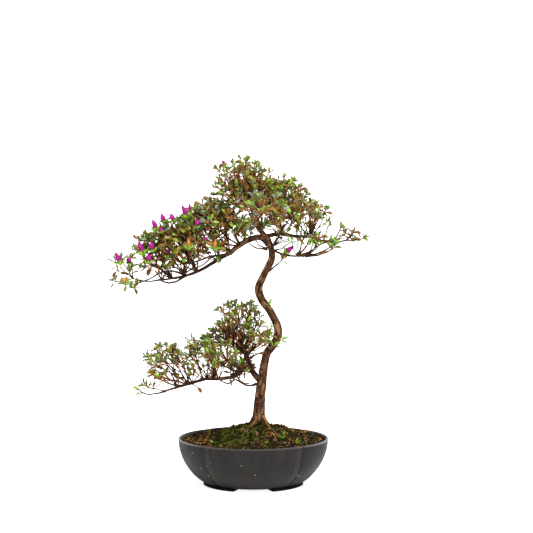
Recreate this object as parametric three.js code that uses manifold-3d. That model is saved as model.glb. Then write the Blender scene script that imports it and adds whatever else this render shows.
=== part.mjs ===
// An azalea grown as a bonsai, about 66 cm tall, in an oval pot with four lobes.
// Millimetres, +Z up, +X to the right and +Y to the back of the plant as it is shown.
// Places are given from the middle of the pot's underside. The group at the end moves them,
// so that the origin is under the middle of the whole plant, on the surface that it stands on.

import * as THREE from "three";
import { mergeVertices } from "three/addons/utils/BufferGeometryUtils.js";
import Module from "manifold-3d";

const wasm = await Module();
wasm.setup();

// Driving dimensions
const gap = 0.3; // kept between neighbouring solids

const pot = {
  halfLength: 150, // at the rim
  halfWidth: 114,
  baseHalfLength: 99, // where the bowl meets its flat underside
  baseHalfWidth: 75,
  height: 94,
  foot: 4, // height of the feet
  wall: 4,
  floor: 5,
  lobeDepth: 4.5, // depth of the four creases between the lobes
  lip: 1.3, // how far the rim's edge is rounded
  outerHeights: [4, 9, 19, 35, 58, 92.7],
  innerHeights: [9, 21, 48, 92.7],
  sides: 36,
};

const footArc = {
  from: 12, // degrees round each quarter of the oval
  to: 68,
  inner: 0.78, // share of the base oval
  outer: 1,
  chamfer: 4, // degrees that each end leans in
  sunk: 4, // how far it reaches up into the bowl
};

const drain = { radius: 9, offset: 45, sides: 16 };

const soil = {
  edge: 83, // height where it meets the pot
  top: 114, // height of the mound round the trunk
  spread: 72, // how far the mound reaches before it falls away
  plateau: 25, // flat disc that the trunk stands on
  bump: 1.6,
};

// Clods that stand out of the soil, about 31 mm apart
const clods = {
  count: 42, // over the whole oval, with the moss and the trunk's foot left free
  halfLength: 132, // of the oval that they are spread over
  halfWidth: 96,
  radius: 10,
  height: 3.2,
  sides: 4,
  sunk: 1, // depth of the widest part below the soil
};

const mossPatch = { x: -34, y: -34, halfLength: 58, halfWidth: 44, thickness: 5 };

const trunk = {
  // the bends of the trunk, from the ground to its tip
  path: [
    [10, 8, 95],
    [11, 8, 145],
    [15.5, 6, 190],
    [20, 3, 228],
    [27, -2, 264],
    [46, -6, 292],
    [49.5, -5, 312],
    [37, 0, 343],
    [15, 7, 375],
    [11, 8, 394],
    [23.5, 4, 426],
    [37, -2, 456],
    [30, -4, 488],
    [8, 0, 518],
    [-6, 5, 558],
  ],
  // radius at a few shares of the way up
  radii: [
    [0, 10.8],
    [0.12, 10.4],
    [0.22, 9.4],
    [0.3, 7.8],
    [0.5, 7.2],
    [0.66, 6.2],
    [0.84, 5.8],
    [1, 2.6],
  ],
  flare: 11, // how much wider the foot is
  flareHeight: 13, // height over which the flare dies away
  roots: 5,
  rootDepth: 0.34,
  sides: 12,
  steps: 23,
};

// Each limb starts inside the limb that carries it, and is cut back to its surface.
const limbs = [
  {
    name: "first_branch",
    on: "trunk",
    path: [[18, 4, 205], [2, 2, 222], [-9, 0, 245], [-17, -2, 270]],
    radius: [5.6, 3.2],
  },
  {
    name: "low_left_bough",
    on: "first_branch",
    path: [[-6, 1, 236], [-20, -5, 237], [-35, -8, 221], [-64, -6, 214], [-95, -4, 213], [-126, -2, 203], [-176, 0, 188]],
    radius: [3.3, 1.3],
  },
  {
    name: "low_mid_bough",
    on: "first_branch",
    path: [[-13, -1, 260], [-36, 10, 280], [-62, 18, 284], [-86, 24, 282]],
    radius: [2.6, 1.4],
  },
  {
    name: "low_back_bough",
    on: "first_branch",
    path: [[-8, 0, 243], [-16, 26, 256], [-34, 54, 268]],
    radius: [2.6, 1.4],
  },
  {
    name: "low_front_bough",
    on: "low_left_bough",
    path: [[-29, -7, 229], [-42, -26, 236], [-58, -44, 246]],
    radius: [2.2, 1.4],
  },
  {
    name: "left_bough",
    on: "trunk",
    path: [[31, -4, 485], [14, -4, 496], [-3, -6, 493], [-28, -8, 480], [-46, -9, 465]],
    radius: [5.6, 4.4],
  },
  {
    name: "left_bough_outer",
    on: "left_bough",
    path: [[-44, -9, 467], [-73, -8, 450], [-111, -4, 428], [-150, 0, 416], [-184, 0, 411]],
    radius: [4.2, 1.9],
  },
  {
    name: "left_bough_tip",
    on: "left_bough_outer",
    path: [[-182, 0, 411], [-212, 0, 409], [-238, 0, 414]],
    radius: [1.8, 1.2],
  },
  {
    name: "left_side_bough",
    on: "left_bough_outer",
    path: [[-54, -8, 461], [-82, 8, 457], [-107, 22, 448], [-131, 34, 440]],
    radius: [2.6, 1.4],
  },
  {
    name: "left_back_bough",
    on: "trunk",
    path: [[4, 1, 525], [-28, 30, 522], [-70, 60, 512]],
    radius: [3, 1.5],
  },
  {
    name: "right_bough",
    on: "trunk",
    path: [[22, -3, 497], [52, -2, 503], [82, -4, 498], [114, -4, 497], [130, -4, 490], [152, -2, 487]],
    radius: [3.6, 1.8],
  },
  {
    name: "right_low_bough",
    on: "trunk",
    path: [[35, -3, 474], [47, -8, 467], [66, -16, 461], [84, -22, 460], [104, -26, 461]],
    radius: [2.4, 1.4],
  },
  {
    name: "right_back_bough",
    on: "trunk",
    path: [[6, 0, 521], [36, 28, 523], [72, 56, 530]],
    radius: [3, 1.5],
  },
  {
    name: "front_bough",
    on: "trunk",
    path: [[14, -1, 510], [16, -34, 512], [18, -66, 522]],
    radius: [2.8, 1.5],
  },
  {
    name: "back_bough",
    on: "trunk",
    path: [[1, 2, 532], [4, 38, 536], [8, 72, 542]],
    radius: [2.8, 1.5],
  },
];

// Each mass of foliage: the limb and the place on it that its stem springs from, the middle and
// half sizes of its own space, and how many twig tips and flower buds it has.
const masses = [
  { name: "crown_top", on: "trunk", from: [-6, 5, 558], at: [-19, 4, 591], half: [64, 58, 62], tips: 16, buds: 1 },
  { name: "crown_right_top", on: "right_bough", from: [54, -2, 503], at: [62, 0, 572], half: [48, 46, 52], tips: 11, buds: 1 },
  { name: "crown_right", on: "right_bough", from: [112, -4, 497], at: [116, 0, 532], half: [37, 42, 42], tips: 9, buds: 0 },
  { name: "right_tip", on: "right_bough", from: [152, -2, 487], at: [192, -2, 491], half: [37, 16, 16], tips: 3, buds: 0 },
  { name: "right_low", on: "right_low_bough", from: [104, -26, 461], at: [134, -30, 482], half: [32, 22, 22], tips: 4, buds: 0 },
  { name: "crown_left", on: "left_bough", from: [-26, -8, 481], at: [-80, 0, 522], half: [50, 44, 47], tips: 11, buds: 1 },
  { name: "left_mid", on: "left_bough_outer", from: [-111, -4, 428], at: [-148, -6, 488], half: [46, 36, 46], tips: 10, buds: 4 },
  { name: "left_outer", on: "left_bough_outer", from: [-160, 0, 414], at: [-204, -3, 464], half: [36, 32, 42], tips: 8, buds: 4 },
  { name: "left_tip", on: "left_bough_tip", from: [-238, 0, 414], at: [-260, 0, 432], half: [26, 24, 36], tips: 5, buds: 2 },
  { name: "left_side", on: "left_side_bough", from: [-131, 34, 440], at: [-150, 48, 474], half: [42, 30, 36], tips: 6, buds: 1 },
  { name: "crown_front", on: "front_bough", from: [18, -66, 522], at: [20, -84, 549], half: [54, 42, 36], tips: 8, buds: 0 },
  { name: "crown_back", on: "back_bough", from: [8, 72, 542], at: [8, 88, 566], half: [56, 42, 42], tips: 8, buds: 1 },
  { name: "back_left", on: "left_back_bough", from: [-70, 60, 512], at: [-90, 72, 532], half: [44, 36, 36], tips: 6, buds: 1 },
  { name: "back_right", on: "right_back_bough", from: [72, 56, 530], at: [88, 66, 548], half: [42, 36, 36], tips: 5, buds: 0 },
  { name: "low_top", on: "first_branch", from: [-17, -2, 270], at: [-26, 0, 325], half: [46, 40, 47], tips: 10, buds: 0 },
  { name: "low_mid", on: "low_left_bough", from: [-80, -5, 213], at: [-94, -8, 257], half: [42, 30, 40], tips: 8, buds: 0 },
  { name: "low_outer", on: "low_left_bough", from: [-128, -2, 202], at: [-174, -2, 241], half: [46, 34, 40], tips: 9, buds: 0 },
  { name: "low_tip", on: "low_left_bough", from: [-176, 0, 188], at: [-212, 0, 188], half: [32, 14, 13], tips: 2, buds: 0 },
  { name: "low_inner", on: "first_branch", from: [-2, 2, 226], at: [-28, 14, 230], half: [28, 18, 22], tips: 3, buds: 0 },
  { name: "low_back_left", on: "low_mid_bough", from: [-86, 24, 282], at: [-98, 38, 272], half: [38, 28, 26], tips: 4, buds: 0 },
  { name: "low_back", on: "low_back_bough", from: [-34, 54, 268], at: [-48, 66, 290], half: [44, 30, 30], tips: 5, buds: 0 },
  { name: "low_front", on: "low_front_bough", from: [-58, -44, 246], at: [-68, -54, 270], half: [38, 26, 28], tips: 5, buds: 0 },
  { name: "low_right", on: "first_branch", from: [-15, -1, 263], at: [14, -26, 290], half: [28, 20, 24], tips: 4, buds: 0 },
  { name: "trunk_spray", on: "trunk", from: [25, 5, 363], at: [34, -4, 374], half: [12, 12, 12], tips: 1, buds: 0 },
  { name: "elbow_spray", on: "trunk", from: [50, -6, 298], at: [64, -9, 298], half: [12, 12, 12], tips: 1, buds: 0 },
  { name: "bud_twig", on: "trunk", from: [26, 4, 424], at: [66, 0, 458], half: [18, 12, 20], tips: 1, buds: 1 },
  { name: "left_inner", on: "left_bough_outer", from: [-70, -8, 452], at: [-84, -14, 480], half: [36, 24, 24], tips: 5, buds: 0 },
  { name: "left_tip_low", on: "left_bough_tip", from: [-222, 0, 411], at: [-256, -6, 400], half: [26, 16, 16], tips: 3, buds: 0 },
  { name: "crown_inner", on: "left_bough", from: [-14, -7, 488], at: [-14, -4, 512], half: [28, 20, 22], tips: 4, buds: 0 },
];

const twig = {
  tipRadius: 1.25,
  growth: 0.4, // how fast a twig thickens with the number of tips that it carries
  joints: [0.4, 0.6, 0.8], // shares of a twig's length where others spring from it
  directness: 0.5, // 0 joins each twig at the nearest place, 1 brings it straight from the stem
  lowest: -0.2, // cosine of the lowest angle that a twig reaches, from straight up
  outermost: 0.84, // share of the mass's half size that the tips reach
  innerDepth: 0.34, // how much less the innermost tips reach
};
const leaf = {
  length: 24,
  width: 8.6,
  thickness: 2,
  widest: 0.6, // share of the length where it is widest
  count: 4,
  spacing: 2.2, // along the twig
  lean: 50, // degrees out from the axis of the whorl
  lift: 0.6, // how far the whorl turns up to the light
};
const bud = { length: 27, width: 9, widest: 0.45, sunk: 2 };

const colours = {
  pot: 0x3c3938,
  soil: 0x3b2c1d,
  moss: 0x47521a,
  bark: 0x5e4334,
  foliage: 0x5a6332,
};

const degrees = Math.PI / 180;
const up = new THREE.Vector3(0, 0, 1);

const vector = ([x, y, z]) => new THREE.Vector3(x, y, z);

// A closed geometry as a solid that can be joined and cut. Only its positions are kept.
function solidFrom(geometry) {
  const bare = geometry.clone();
  bare.deleteAttribute("normal");
  bare.deleteAttribute("uv");
  const merged = mergeVertices(bare, 1e-4);
  const vertProperties = new Float32Array(merged.attributes.position.array);
  const triVerts = new Uint32Array(merged.index.array);
  return new wasm.Manifold(new wasm.Mesh({ numProp: 3, vertProperties, triVerts }));
}

function geometryFrom(solid) {
  const { vertProperties, triVerts } = solid.getMesh();
  const geometry = new THREE.BufferGeometry();
  geometry.setAttribute("position", new THREE.BufferAttribute(vertProperties, 3));
  geometry.setIndex(new THREE.BufferAttribute(triVerts, 1));
  geometry.computeVertexNormals();
  return geometry;
}

// A closed skin over rings that all have the same number of points, counter-clockwise as seen
// from the last ring. It is a sphere whose parallels are moved to the rings and whose poles
// are moved to the two end points.
function skinSolid(rings, startPoint, endPoint) {
  const sides = rings[0].length;
  const rows = rings.length + 1;
  const geometry = new THREE.SphereGeometry(1, sides, rows);
  const { position } = geometry.attributes;
  for (let i = 0; i < position.count; i += 1) {
    const [x, y, z] = [position.getX(i), position.getY(i), position.getZ(i)];
    const row = rows - Math.round((Math.acos(y) / Math.PI) * rows);
    const turn = Math.atan2(z, -x) / (2 * Math.PI);
    const side = (Math.round(turn * sides) + sides) % sides;
    const ring = [startPoint, ...rings, endPoint][row];
    const point = Array.isArray(ring) ? ring[side] : ring;
    position.setXYZ(i, point.x, point.y, point.z);
  }
  return solidFrom(geometry);
}

function largestPiece(solid) {
  return solid.decompose().reduce((a, b) => (a.volume() > b.volume() ? a : b));
}

// Three numbers from 0 to 1 that spread evenly as k counts up, different for each seed.
function evenNumbers(seed, k) {
  const steps = [0.8191725134, 0.6710436067, 0.5497004779];
  return steps.map((step, axis) => (0.5 + seed * 0.3819660113 * (axis + 1) + k * step) % 1);
}

// Angles round the oval, closest together at the four creases, with the share of the crease
// depth at each: a narrow valley that opens into the broad lobes.
function ovalAngles() {
  const bunching = 0.17;
  const creaseShift = 3.8 * degrees; // brings the creases nearer to the short sides
  const valley = 0.25;
  return Array.from({ length: pot.sides }, (_, i) => {
    const even = (i / pot.sides) * 2 * Math.PI;
    const bunched = even + bunching * Math.sin(4 * even);
    const angle = bunched + creaseShift * Math.sin(2 * bunched);
    const crease = 1 - Math.abs(Math.cos(2 * bunched)) ** valley;
    return { angle, crease };
  });
}

// Share of the way from the base oval to the rim oval at a height: a bowl that swells early.
function bowlShare(z) {
  const rise = THREE.MathUtils.clamp((z - pot.foot) / (pot.height - pot.foot), 0, 1);
  return (1 - (1 - rise) ** 2) ** 0.8;
}

// A ring of the pot at a height, set in from the outer wall.
function potRing(z, inset) {
  const share = bowlShare(z);
  const halfLength = THREE.MathUtils.lerp(pot.baseHalfLength, pot.halfLength, share);
  const halfWidth = THREE.MathUtils.lerp(pot.baseHalfWidth, pot.halfWidth, share);
  return ovalAngles().map(({ angle, crease }) => {
    const inward = inset + crease * pot.lobeDepth;
    return new THREE.Vector3(
      (halfLength - inward) * Math.cos(angle),
      (halfWidth - inward) * Math.sin(angle),
      z,
    );
  });
}

function footSolid(mirrorX, mirrorY) {
  const { from, to, inner, outer, chamfer, sunk } = footArc;
  const count = 7;
  const corner = (angle, share, z) =>
    new THREE.Vector3(
      mirrorX * pot.baseHalfLength * share * Math.cos(angle * degrees),
      mirrorY * pot.baseHalfWidth * share * Math.sin(angle * degrees),
      z,
    );
  const rings = Array.from({ length: count }, (_, i) => {
    const share = i / (count - 1);
    const top = THREE.MathUtils.lerp(from - chamfer, to + chamfer, share);
    const bottom = THREE.MathUtils.lerp(from, to, share);
    const ring = [
      corner(bottom, outer, 0),
      corner(top, outer, pot.foot + sunk),
      corner(top, inner, pot.foot + sunk),
      corner(bottom, inner, 0),
    ];
    return mirrorX * mirrorY > 0 ? ring.reverse() : ring;
  });
  const middle = (ring) =>
    ring.reduce((sum, p) => sum.add(p), new THREE.Vector3()).divideScalar(ring.length);
  return skinSolid(rings, middle(rings[0]), middle(rings[count - 1]));
}

function potSolid() {
  const { height, foot, floor, wall, lip, outerHeights, innerHeights } = pot;
  const rings = [
    ...outerHeights.map((z) => potRing(z, 0)),
    potRing(height, lip),
    potRing(height, wall - lip),
    ...innerHeights.map((z) => potRing(z, wall)).reverse(),
  ];
  const bowl = skinSolid(
    rings,
    new THREE.Vector3(0, 0, foot),
    new THREE.Vector3(0, 0, foot + floor),
  );
  const feet = [1, -1].flatMap((x) => [1, -1].map((y) => footSolid(x, y)));
  const hole = new THREE.CylinderGeometry(drain.radius, drain.radius, 4 * floor, drain.sides);
  hole.rotateX(90 * degrees);
  const holes = [-1, 1].map((side) =>
    solidFrom(hole).translate([side * drain.offset, 0, foot]),
  );
  return wasm.Manifold.union([bowl, ...feet]).subtract(wasm.Manifold.union(holes));
}

// A ring of the pot's inner wall at any height, a gap away from it.
function besideWall(z) {
  const above = pot.innerHeights.findIndex((height) => height >= z);
  const [low, high] = [pot.innerHeights[above - 1], pot.innerHeights[above]];
  const upper = potRing(high, pot.wall + gap);
  const share = (z - low) / (high - low);
  return potRing(low, pot.wall + gap).map((p, i) => p.lerp(upper[i], share));
}

// Height of the soil: a broad flat-topped mound round the trunk, with small bumps.
function soilHeight(x, y) {
  const [trunkX, trunkY] = trunk.path[0];
  const away = Math.hypot((x - trunkX) / 1.15, y - trunkY);
  if (away <= soil.plateau) return soil.top;
  const beyond = away - soil.plateau;
  const mound = (soil.top - soil.edge) / (1 + (beyond / (soil.spread - soil.plateau)) ** 2.4);
  const bumps = Math.sin(x / 9) * Math.cos(y / 7) + Math.sin((x + y) / 13);
  return soil.edge + mound + 0.5 * soil.bump * bumps * Math.min(1, beyond / 12);
}

// Places of the clods, spread evenly over the oval by the golden angle, with their sizes.
function clodPlaces() {
  const goldenAngle = (3 - Math.sqrt(5)) * Math.PI;
  const [trunkX, trunkY] = trunk.path[0];
  const all = Array.from({ length: clods.count }, (_, k) => {
    const out = Math.sqrt((k + 0.5) / clods.count);
    const x = clods.halfLength * out * Math.cos(k * goldenAngle);
    const y = clods.halfWidth * out * Math.sin(k * goldenAngle);
    return { x, y, size: 1 + 0.25 * Math.sin(5 * k) };
  });
  return all.filter(({ x, y }) => {
    const fromMoss = Math.hypot(
      (x - mossPatch.x) / mossPatch.halfLength,
      (y - mossPatch.y) / mossPatch.halfWidth,
    );
    return fromMoss > 1.1 && Math.hypot(x - trunkX, y - trunkY) > soil.plateau + clods.radius;
  });
}

// A clod: a low cone whose foot is sunk into the soil.
function clodSolid({ x, y, size }) {
  const at = (px, py, lift) => new THREE.Vector3(px, py, soilHeight(px, py) + lift);
  const ring = Array.from({ length: clods.sides }, (_, i) => {
    const angle = (i / clods.sides) * 2 * Math.PI + x;
    const radius = clods.radius * size;
    return at(x + radius * Math.cos(angle), y + radius * Math.sin(angle), -clods.sunk);
  });
  return skinSolid([ring], at(x, y, -4 * clods.sunk), at(x, y, clods.height * size));
}

function soilSolid() {
  const bottom = pot.foot + pot.floor + gap;
  const wallHeights = [bottom, ...pot.innerHeights.slice(1, -1)];
  const topShares = [0.9, 0.62, 0.34];
  const edgeRing = besideWall(soil.edge);
  const [trunkX, trunkY] = trunk.path[0];
  const plateauRing = ovalAngles().map(
    ({ angle }) =>
      new THREE.Vector3(
        trunkX + soil.plateau * 1.1 * Math.cos(angle),
        trunkY + soil.plateau * 0.96 * Math.sin(angle),
        soil.top,
      ),
  );
  // between the pot's wall and the plateau, each point slides along a straight line
  const slope = topShares.map((share) =>
    edgeRing.map((p, i) => {
      const along = plateauRing[i].clone().lerp(p, share);
      return along.setZ(soilHeight(along.x, along.y));
    }),
  );
  const bed = skinSolid(
    [...wallHeights.map(besideWall), edgeRing, ...slope, plateauRing],
    new THREE.Vector3(0, 0, bottom),
    new THREE.Vector3(trunkX, trunkY, soil.top),
  );
  return wasm.Manifold.union([bed, ...clodPlaces().map(clodSolid)]).simplify(0.05);
}

// A low cushion of moss that follows the soil and the root flare, a gap away from both.
function mossSolid(soilBody, trunkRoom) {
  const sides = 18;
  const shares = [1, 0.9, 0.55];
  const sunk = 8;
  const place = (share, angle, lift) => {
    const wobble = 1 + 0.1 * Math.sin(3 * angle + 1) + 0.06 * Math.sin(7 * angle);
    const x = mossPatch.x + mossPatch.halfLength * share * wobble * Math.cos(angle);
    const y = mossPatch.y + mossPatch.halfWidth * share * wobble * Math.sin(angle);
    return new THREE.Vector3(x, y, soilHeight(x, y) + lift);
  };
  const edge = (share, lift) =>
    Array.from({ length: sides }, (_, i) => place(share, (i / sides) * 2 * Math.PI, lift));
  const crown = (share) => 0.8 + mossPatch.thickness * Math.sqrt(1 - share ** 2);
  const rings = [
    edge(0.5, -sunk),
    edge(1, -sunk),
    ...shares.map((share) => edge(share, crown(share))),
  ];
  const cushion = skinSolid(rings, place(0, 0, -sunk), place(0, 0, crown(0)));
  return largestPiece(cushion.subtract(soilBody.translate([0, 0, gap])).subtract(trunkRoom));
}

// A limb: rings of points round a smooth path. radiusAt gives the radius at a share of the
// length and an angle round it.
function limbSolid(points, radiusAt, sides, steps) {
  const path = new THREE.CatmullRomCurve3(points.map(vector), false, "centripetal");
  const { normals, binormals } = path.computeFrenetFrames(steps, false);
  const rings = normals.map((normal, i) => {
    const share = i / steps;
    const centre = path.getPointAt(share);
    return Array.from({ length: sides }, (_, s) => {
      const angle = (s / sides) * 2 * Math.PI;
      const radius = radiusAt(share, angle, centre);
      return centre
        .clone()
        .addScaledVector(normal, radius * Math.cos(angle))
        .addScaledVector(binormals[i], radius * Math.sin(angle));
    });
  });
  return skinSolid(rings, path.getPointAt(0), path.getPointAt(1));
}

function trunkRadius(share) {
  const { radii } = trunk;
  const i = Math.max(0, radii.findIndex(([at]) => at >= share) - 1);
  const [[fromShare, fromRadius], [toShare, toRadius]] = [radii[i], radii[i + 1]];
  return THREE.MathUtils.mapLinear(share, fromShare, toShare, fromRadius, toRadius);
}

// The path with its last point moved further out.
function lengthened(path, by) {
  const [last, before] = [path.at(-1), path.at(-2)].map(vector);
  const further = last.clone().sub(before).setLength(by).add(last);
  return [...path.slice(0, -1), further.toArray()];
}

// The trunk, or the room that its neighbours leave for it when it is made thicker by the gap.
function trunkSolid(thicker = 0) {
  const { flare, flareHeight, roots, rootDepth, sides, steps } = trunk;
  const path = lengthened(trunk.path, thicker);
  const ground = soil.top + gap;
  const radiusAt = (share, angle, centre) => {
    const height = Math.max(0, centre.z - ground);
    const lobes = 1 + rootDepth * Math.cos(roots * angle);
    const foot = flare * lobes * Math.exp(-height / flareHeight);
    return trunkRadius(share) + foot + thicker;
  };
  return limbSolid(path, radiusAt, sides, steps).trimByPlane([0, 0, 1], ground);
}

function boughSolid({ path, radius: [base, tip] }, thicker = 0) {
  const steps = 2 * path.length;
  const radiusAt = (share) => THREE.MathUtils.lerp(base, tip, share) + thicker;
  return limbSolid(lengthened(path, thicker), radiusAt, 5, steps);
}

// How far out a point lies in a mass's space: 0 in its middle and 1 on its edge.
function reach(mass, point) {
  return Math.hypot(
    ...["x", "y", "z"].map((axis, i) => (point[axis] - mass.at[i]) / mass.half[i]),
  );
}

// A point is in a mass's own space if it is inside it, and deeper in it than in any other.
function inOwnSpace(mass, point) {
  const own = reach(mass, point);
  return own <= 1 && masses.every((other) => other === mass || reach(other, point) > own);
}

// The twigs of a mass. Their tips are spread evenly under the edge of its space. Taken from the
// stem outwards, each springs from the place on the twigs before it that gives it the shortest
// way, both to that place and on to the stem.
function growTwigs(mass, seed) {
  const stem = vector(mass.from);
  const tips = Array.from({ length: mass.tips }, (_, k) => {
    const [height, turn, depth] = evenNumbers(seed, k);
    const cosine = 1 - height * (1 - twig.lowest);
    const sine = Math.sqrt(1 - cosine ** 2);
    const angle = turn * 2 * Math.PI;
    const out = twig.outermost - twig.innerDepth * depth ** 2;
    const direction = [sine * Math.cos(angle), sine * Math.sin(angle), cosine];
    return new THREE.Vector3(...mass.at.map((c, i) => c + mass.half[i] * out * direction[i]));
  });
  const own = mass.tips === 1 ? [vector(mass.at)] : tips.filter((tip) => inOwnSpace(mass, tip));
  own.sort((a, b) => a.distanceTo(stem) - b.distanceTo(stem));
  const twigs = [];
  for (const end of own) {
    const places = twigs.flatMap((parent) =>
      twig.joints.map((share) => {
        const start = parent.start.clone().lerp(parent.end, share);
        const way = parent.way + parent.start.distanceTo(start);
        return { start, way, parent, cost: start.distanceTo(end) + twig.directness * way };
      }),
    );
    const first = { start: stem, way: 0, parent: null, cost: Infinity };
    const { start, way, parent } = places.reduce((a, b) => (b.cost < a.cost ? b : a), first);
    twigs.push({ start, end, way, parent, carried: 0 });
  }
  for (const one of twigs) {
    for (let t = one; t; t = t.parent) t.carried += 1;
  }
  return twigs;
}

// A twig: three sides that swell from a point in the middle of what it springs from, and then
// taper to its tip.
function twigSolid({ start, end, carried }) {
  const radius = twig.tipRadius * carried ** twig.growth;
  const along = end.clone().sub(start).normalize();
  const side = new THREE.Vector3(along.z, 0, -along.x).normalize();
  const ring = (centre, size) =>
    [0, 120, 240].map((angle) =>
      side.clone().applyAxisAngle(along, angle * degrees).setLength(size).add(centre),
    );
  const swollen = start.clone().addScaledVector(along, 2 * radius);
  const point = end.clone().addScaledVector(along, 2 * twig.tipRadius);
  return skinSolid([ring(swollen, radius), ring(end, twig.tipRadius)], start, point);
}

// Directions of the leaves round a twig's tip. They lean out from an axis that turns from the
// twig's own direction up to the light.
function leafDirections(axis, turn) {
  const side = new THREE.Vector3(axis.z, 0, -axis.x).normalize();
  const lean = leaf.lean * degrees;
  return Array.from({ length: leaf.count }, (_, i) => {
    const around = side.clone().applyAxisAngle(axis, turn + (i / leaf.count) * 2 * Math.PI);
    return axis.clone().multiplyScalar(Math.cos(lean)).addScaledVector(around, Math.sin(lean));
  });
}

// A leaf: a tetrahedron, with one edge as the rib below and the opposite edge across it.
function leafSolid(root, axis, direction) {
  const { length, width, thickness, widest } = leaf;
  const across = axis.clone().cross(direction).setLength(width / 2);
  const face = direction.clone().cross(across).setLength(thickness);
  const tip = root.clone().addScaledVector(direction, length);
  const middle = root.clone().addScaledVector(direction, length * widest).add(face);
  const corners = [root, tip, middle.clone().add(across), middle.clone().sub(across)];
  const geometry = new THREE.TetrahedronGeometry(1);
  const { position } = geometry.attributes;
  for (let i = 0; i < position.count; i += 1) {
    const [x, y, z] = [position.getX(i) > 0, position.getY(i) > 0, position.getZ(i) > 0];
    const corner = corners[[x && y && z, z && !x, y && !x, x && !y].indexOf(true)];
    position.setXYZ(i, corner.x, corner.y, corner.z);
  }
  return solidFrom(geometry);
}

// A bud: three sides that swell between its two ends.
function budSolid(root, direction) {
  const side = new THREE.Vector3(direction.z, 0, -direction.x).setLength(bud.width / 2);
  const middle = root.clone().addScaledVector(direction, bud.length * bud.widest);
  const ring = [0, 120, 240].map((angle) =>
    side.clone().applyAxisAngle(direction, angle * degrees).add(middle),
  );
  return skinSolid([ring], root, root.clone().addScaledVector(direction, bud.length));
}

// What one twig carries at its tip: leaves all round it, each springing a little further down
// than the one before, and perhaps a bud.
function tipSolids({ start, end }, hasBud, turn) {
  const along = end.clone().sub(start).normalize();
  const axis = along.clone().addScaledVector(up, leaf.lift).normalize();
  const leaves = leafDirections(axis, turn).map((direction, i) =>
    leafSolid(end.clone().addScaledVector(along, -leaf.spacing * (i + 0.3)), axis, direction),
  );
  const sunk = end.clone().addScaledVector(along, -bud.sunk);
  return hasBud ? [budSolid(sunk, axis), ...leaves] : leaves;
}

// Pieces in their places, each with the name of the solid that it belongs to.
const placed = [];

function place(owner, solid) {
  placed.push({ owner, solid, box: solid.boundingBox() });
}

// Whether a piece keeps away from all that is placed: by the gap from what belongs to another
// solid, and just clear of what belongs to its own.
function hasRoom(piece, owner, ignored) {
  const { min, max } = piece.boundingBox();
  return placed.every((other) => {
    if (ignored(other)) return true;
    const isFar = min.some((low, i) => low > other.box.max[i] + gap || max[i] + gap < other.box.min[i]);
    const needed = other.owner === owner ? 0.05 : gap;
    return isFar || other.solid.minGap(piece, needed) >= needed;
  });
}

// The twigs of a mass that have room. One that has none is left out with all that grows on it.
function placeTwigs(mass, seed) {
  const kept = new Map();
  for (const one of growTwigs(mass, seed)) {
    const solid = twigSolid(one);
    const ignored = ({ owner }) => owner === mass.name || (!one.parent && owner === mass.on);
    const canGrow = !one.parent || kept.has(one.parent);
    if (canGrow && hasRoom(solid, mass.name, ignored)) kept.set(one, solid);
  }
  for (const solid of kept.values()) place(mass.name, solid);
  return kept;
}

// The leaves and buds of a mass that have room. Its highest twigs bear the buds.
function placeLeaves(mass, seed, twigs) {
  const highest = [...twigs.keys()].sort((a, b) => b.end.z - a.end.z);
  const budded = new Set(highest.slice(0, mass.buds));
  return [...twigs].flatMap(([one, twigBody], k) => {
    const turn = evenNumbers(seed, k)[1] * 2 * Math.PI;
    return tipSolids(one, budded.has(one), turn).filter((piece) => {
      const isFree = hasRoom(piece, mass.name, ({ solid }) => solid === twigBody);
      if (isFree) place(mass.name, piece);
      return isFree;
    });
  });
}

// All solids, each made clear of the one that it grows from or rests on. All twigs find their
// places before the first leaf does.
function buildSolids() {
  const solids = new Map([["pot", potSolid()], ["soil", soilSolid()], ["trunk", trunkSolid()]]);
  const rooms = new Map([["trunk", trunkSolid(gap)]]);
  solids.set("moss", mossSolid(solids.get("soil"), rooms.get("trunk")));
  for (const limb of limbs) {
    rooms.set(limb.name, boughSolid(limb, gap));
    solids.set(limb.name, largestPiece(boughSolid(limb).subtract(rooms.get(limb.on))));
  }
  for (const [name, solid] of solids) place(name, solid);
  const twigs = masses.map((mass, i) => placeTwigs(mass, i + 1));
  masses.forEach((mass, i) => {
    const joined = [...twigs[i].values(), ...placeLeaves(mass, i + 1, twigs[i])];
    const cut = wasm.Manifold.union(joined).subtract(rooms.get(mass.on));
    solids.set(mass.name, largestPiece(cut).simplify(0.03));
  });
  return solids;
}

function materialFor(name) {
  const isLimb = name === "trunk" || limbs.some((limb) => limb.name === name);
  const colour = isLimb ? colours.bark : (colours[name] ?? colours.foliage);
  return new THREE.MeshStandardMaterial({
    color: colour,
    roughness: name === "pot" ? 0.55 : 0.85,
    metalness: 0,
  });
}

const plant = new THREE.Group();
for (const [name, solid] of buildSolids()) {
  const mesh = new THREE.Mesh(geometryFrom(solid), materialFor(name));
  mesh.name = name;
  plant.add(mesh);
}

const middle = new THREE.Box3().setFromObject(plant).getCenter(new THREE.Vector3());
plant.position.set(-middle.x, -middle.y, 0);

export default plant;
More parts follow.
